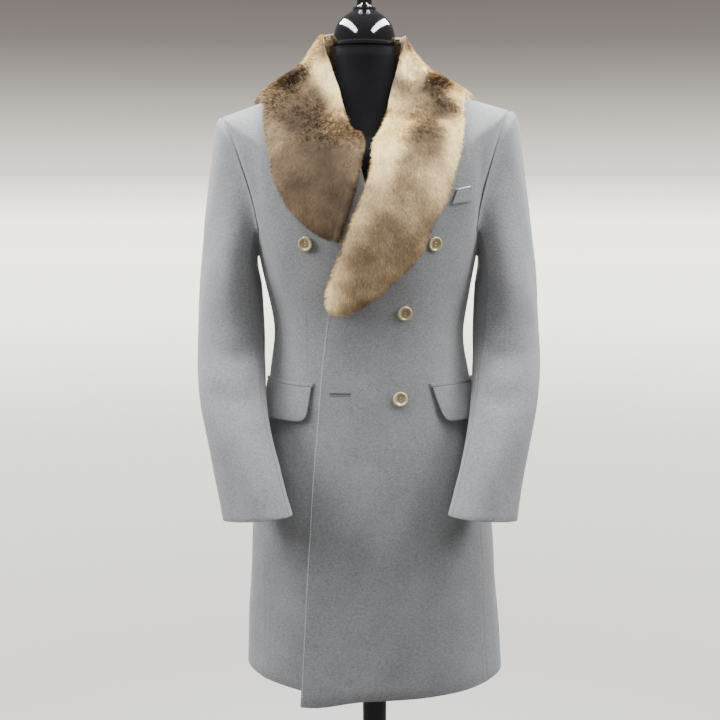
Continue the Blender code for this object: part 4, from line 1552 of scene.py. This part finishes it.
RIGHT_ZONES = (
    (-0.104, -0.020, 1.540, 0.022, 0.84), (-0.085, -0.043, 1.501, 0.020, 0.95),
    (-0.064, -0.051, 1.470, 0.024, 1.00), (-0.048, -0.064, 1.444, 0.020, 0.86),
    (-0.040, -0.101, 1.402, 0.024, 0.50), (-0.081, -0.028, 1.538, 0.016, 0.30),
    (-0.129, -0.042, 1.490, 0.018, 0.13), (-0.114, -0.056, 1.476, 0.011, 0.60),
    (-0.093, -0.066, 1.454, 0.020, 0.25), (-0.181, -0.058, 1.448, 0.024, 0.52),
    (-0.155, -0.080, 1.440, 0.022, 0.36), (-0.170, -0.105, 1.402, 0.024, 0.50),
    (-0.130, -0.098, 1.424, 0.020, 0.13), (-0.125, -0.136, 1.361, 0.022, 0.28),
    (-0.088, -0.138, 1.360, 0.028, 0.08), (-0.043, -0.137, 1.358, 0.016, 0.32),
    (-0.114, -0.146, 1.317, 0.024, 0.14), (-0.083, -0.153, 1.286, 0.022, 0.16),
    (-0.053, -0.152, 1.298, 0.020, 0.03), (-0.074, -0.151, 1.235, 0.024, 0.05),
    # Both zones on this row lighten pile that lies in shade, past the shoulder and inside the collar's top
    # by the neck: painted light
    (-0.185, 0.020, 1.440, 0.030, 0.60), (-0.072, 0.005, 1.555, 0.018, 0.80),
    (-0.100, 0.100, 1.440, 0.060, 0.35),
)
LEFT_ZONES = (
    (0.046, -0.016, 1.552, 0.016, 0.36), (0.066, -0.026, 1.510, 0.024, 1.00),
    (0.042, -0.049, 1.477, 0.012, 0.48), (0.027, -0.060, 1.450, 0.018, 0.80),
    (0.095, -0.038, 1.486, 0.018, 0.18), (0.110, -0.074, 1.447, 0.017, 0.14),
    (0.143, -0.051, 1.453, 0.024, 1.00), (0.137, -0.101, 1.404, 0.026, 1.00),
    (0.129, -0.123, 1.368, 0.022, 0.92), (0.070, -0.076, 1.441, 0.020, 0.60),
    (0.027, -0.089, 1.417, 0.022, 1.00), (0.013, -0.129, 1.380, 0.024, 1.00),
    (0.084, -0.123, 1.391, 0.022, 0.34), (0.061, -0.140, 1.360, 0.018, 0.50),
    (0.092, -0.145, 1.326, 0.024, 0.78), (0.007, -0.151, 1.337, 0.020, 0.86),
    (0.046, -0.153, 1.317, 0.020, 0.45), (-0.012, -0.158, 1.300, 0.018, 0.64),
    (0.045, -0.160, 1.280, 0.026, 0.54), (-0.035, -0.162, 1.262, 0.020, 0.68),
    (0.022, -0.165, 1.246, 0.024, 0.33), (-0.047, -0.161, 1.231, 0.018, 0.62),
    (-0.023, -0.165, 1.211, 0.020, 0.38), (-0.060, -0.156, 1.181, 0.020, 0.66),
    (-0.022, -0.157, 1.165, 0.022, 0.44), (-0.070, -0.149, 1.141, 0.020, 0.84),
    # The last zone on this row lightens the pile past the shoulder, which lies in shade: painted light
    (-0.035, -0.148, 1.125, 0.018, 0.42), (0.155, 0.020, 1.445, 0.030, 0.95),
    # The first zone on this row lightens the shaded inside of the collar's top by the neck: painted light
    (0.040, 0.005, 1.560, 0.018, 0.80), (0.080, 0.100, 1.440, 0.060, 0.45),
)


@dataclass(frozen=True)
class FloorFinish:
    """Pale floor that is lit near the stand and goes over into the backdrop's glow further out."""

    name: str
    pale: Triple
    glow: tuple[tuple[float, Triple], ...]
    half_way: float = 10.0
    fade: tuple[float, float] = (0.045, 0.13)

    def material(self) -> bpy.types.Material:
        """Makes the material.

        Returns:
            A material on Object coordinates.
        """
        material, board, shader = start_material(self.name)
        spot = board.place("ShaderNodeTexCoord").outputs["Object"]
        reach = board.place("ShaderNodeVectorMath", {0: spot}, operation="LENGTH").outputs["Value"]
        share = board.math("DIVIDE", reach, board.math("ADD", reach, self.half_way))
        glow = board.ramp(share, self.glow)
        far = board.place("ShaderNodeMapRange", {"Value": share, "From Min": self.fade[0],
                                                 "From Max": self.fade[1]}).outputs["Result"]
        night = (0.0, 0.0, 0.0, 1.0)
        board.set(shader, {
            "Base Color": board.mix(far, (*self.pale, 1.0), night),
            "Emission Color": board.mix(far, night, glow), "Emission Strength": 1.0,
            "Roughness": 0.9, "Specular IOR Level": 0.0,
        })
        return material


@dataclass(frozen=True)
class Softbox:
    """One large soft light: where it stands, where it points, its size and its power.

    A mirrored one is seen in gloss and leaves matt cloth to the others.
    """

    name: str
    place: Triple
    aim: Triple
    size: tuple[float, float]
    power: float
    mirrored: bool = False

    def build(self) -> None:
        """Adds the light."""
        lamp = bpy.data.lights.new(self.name, "AREA")
        lamp.shape = "RECTANGLE"
        lamp.size, lamp.size_y = self.size
        lamp.energy = self.power
        item = bpy.data.objects.new(self.name, lamp)
        item.location = self.place
        item.rotation_mode = "QUATERNION"
        item.rotation_quaternion = (Vector(self.aim) - Vector(self.place)).to_track_quat("-Z", "Y")
        item.visible_glossy = self.mirrored
        item.visible_diffuse = not self.mirrored
        bpy.context.scene.collection.objects.link(item)


@dataclass(frozen=True)
class Studio:
    """Pale floor, soft light and the camera."""

    lens: float = 67.2
    sensor: float = 36.0
    eye: Triple = (-0.0256, -2.25, 1.33815)
    pitch: float = 8.0
    floor_reach: float = 400.0
    horizon: Triple = (1.50, 1.40, 1.27)

    def floor(self) -> None:
        """Lays the floor."""
        maker = bmesh.new()
        bmesh.ops.create_circle(maker, cap_ends=True, segments=96, radius=self.floor_reach)
        floor = mesh_of(maker, "floor")
        glow = (
            (0.08, (1.42, 1.36, 1.33)), (0.20, (1.66, 1.65, 1.48)), (0.33, (1.88, 1.92, 1.68)),
            (0.50, (3.10, 3.15, 2.75)), (0.66, (3.55, 3.45, 3.00)), (0.78, (3.40, 3.25, 2.80)),
            (0.865, (2.45, 2.30, 2.05)), (1.00, self.horizon),
        )
        floor.data.materials.append(FloorFinish("pale_floor", (0.43, 0.43, 0.42), glow).material())
        floor.visible_diffuse = False
        floor.visible_glossy = False

    def sky(self) -> None:
        """Sets the backdrop, pale at the horizon and grey above."""
        world = bpy.data.worlds.new("studio")
        world.use_nodes = True
        board = Board(world.node_tree)
        way = board.place("ShaderNodeTexCoord").outputs["Generated"]
        height = board.place("ShaderNodeSeparateXYZ", {0: way}).outputs["Z"]
        share = board.math("MULTIPLY", board.math("ADD", height, 1.0), 0.5)
        shade = board.ramp(share, (
            (0.000, (0.300, 0.298, 0.290)), (0.485, (0.300, 0.298, 0.290)), (0.497, self.horizon),
            (0.500, self.horizon), (0.5185, (0.850, 0.790, 0.690)), (0.533, (0.460, 0.420, 0.380)),
            (0.547, (0.287, 0.255, 0.238)), (0.561, (0.234, 0.200, 0.186)), (0.700, (0.250, 0.240, 0.235)),
            (1.000, (0.300, 0.300, 0.300)),
        ))
        board.set(world.node_tree.nodes["Background"], {"Color": shade})
        bpy.context.scene.world = world

    def build(self) -> None:
        """Sets the stage."""
        self.floor()
        self.sky()
        for light in (
            Softbox("strip_left", (-1.4, -0.2, 2.9), (0.0, -0.2, 1.2), (4.2, 0.55), 420.0, mirrored=True),
            Softbox("strip_right", (1.4, -0.2, 2.9), (0.0, -0.2, 1.2), (4.2, 0.55), 420.0, mirrored=True),
            Softbox("top", (0.0, 0.0, 3.1), (0.0, 0.0, 1.3), (2.4, 1.4), 240.0),
            Softbox("key_left", (-2.7, -0.65, 2.5), (0.0, 0.0, 1.0), (1.2, 1.8), 200.0),
            Softbox("key_right", (2.7, -0.65, 2.5), (0.0, 0.0, 1.0), (1.2, 1.8), 155.0),
            Softbox("fill", (0.0, -3.2, 1.1), (0.0, 0.0, 0.9), (1.6, 1.2), 18.0),
            Softbox("back", (0.0, 2.6, 2.2), (0.0, 0.0, 1.1), (2.0, 1.6), 130.0),
        ):
            light.build()
        camera = bpy.data.cameras.new("camera")
        camera.lens, camera.sensor_width = self.lens, self.sensor
        item = bpy.data.objects.new("camera", camera)
        item.location = self.eye
        item.rotation_euler = (math.radians(90 - self.pitch), 0, 0)
        bpy.context.scene.collection.objects.link(item)
        bpy.context.scene.camera = item


def make_finishes() -> dict[str, bpy.types.Material]:
    """Makes every finish once.

    Returns:
        Materials by slot, and those of the thread, purl and slit.
    """
    black = (0.003, 0.003, 0.004)
    looks = {
        "wool": ClothFinish("grey_wool", (0.104, 0.107, 0.112), (0.216, 0.221, 0.229),
                            cloud=0.45, fleck=2.8),
        # Thread lighter than the wool: for the button threads, and along the front edge also a painted
        # highlight of the lit turned edge
        "thread": ClothFinish("pick_thread", (0.30, 0.303, 0.31), (0.40, 0.404, 0.41), sheen=0.1),
        # Pale thread on the welt's top edge: stitches whose paleness is a painted highlight of that lit
        # edge
        "pale": ClothFinish("pale_thread", (0.58, 0.582, 0.58), (0.74, 0.742, 0.74), sheen=0.1),
        # Dark thread: the buttonhole's purl, and the dart line, which is painted shade
        "purl": ClothFinish("purl_thread", (0.095, 0.097, 0.102), (0.140, 0.143, 0.149), sheen=0.1),
        # Dark slit of the buttonhole: painted shade in the gap
        "slit": ClothFinish("slit_painted_shade", (0.045, 0.046, 0.049), (0.065, 0.066, 0.070), sheen=0.0),
        "fur": FurFinish("brown_fur", PILE_TONE),
        "horn": HornFinish("pale_horn", (0.40, 0.34, 0.18), (0.17, 0.12, 0.050), DISH),
        "form_cover": ClothFinish("black_jersey", (0.003, 0.003, 0.004), (0.007, 0.007, 0.008), sheen=0.02,
                                  gloss=0.03),
        "form_gloss": HardFinish("black_gloss", black, (0.005, 0.005, 0.006), 0.07, 14.0, 60.0, coat=0.1),
        "stand_metal": HardFinish("black_paint", black, (0.012, 0.012, 0.013), 0.34, 22.0, 300.0),
    }
    return {slot: look.material() for slot, look in looks.items()}


def main() -> None:
    """Builds the stage, the form and the coat in order."""
    logging.basicConfig(level=logging.INFO, format="%(name)s %(message)s")
    Studio().build()
    finishes = make_finishes()
    DressForm().build(finishes)
    Overcoat().build(finishes)


if __name__ == "__main__":
    main()
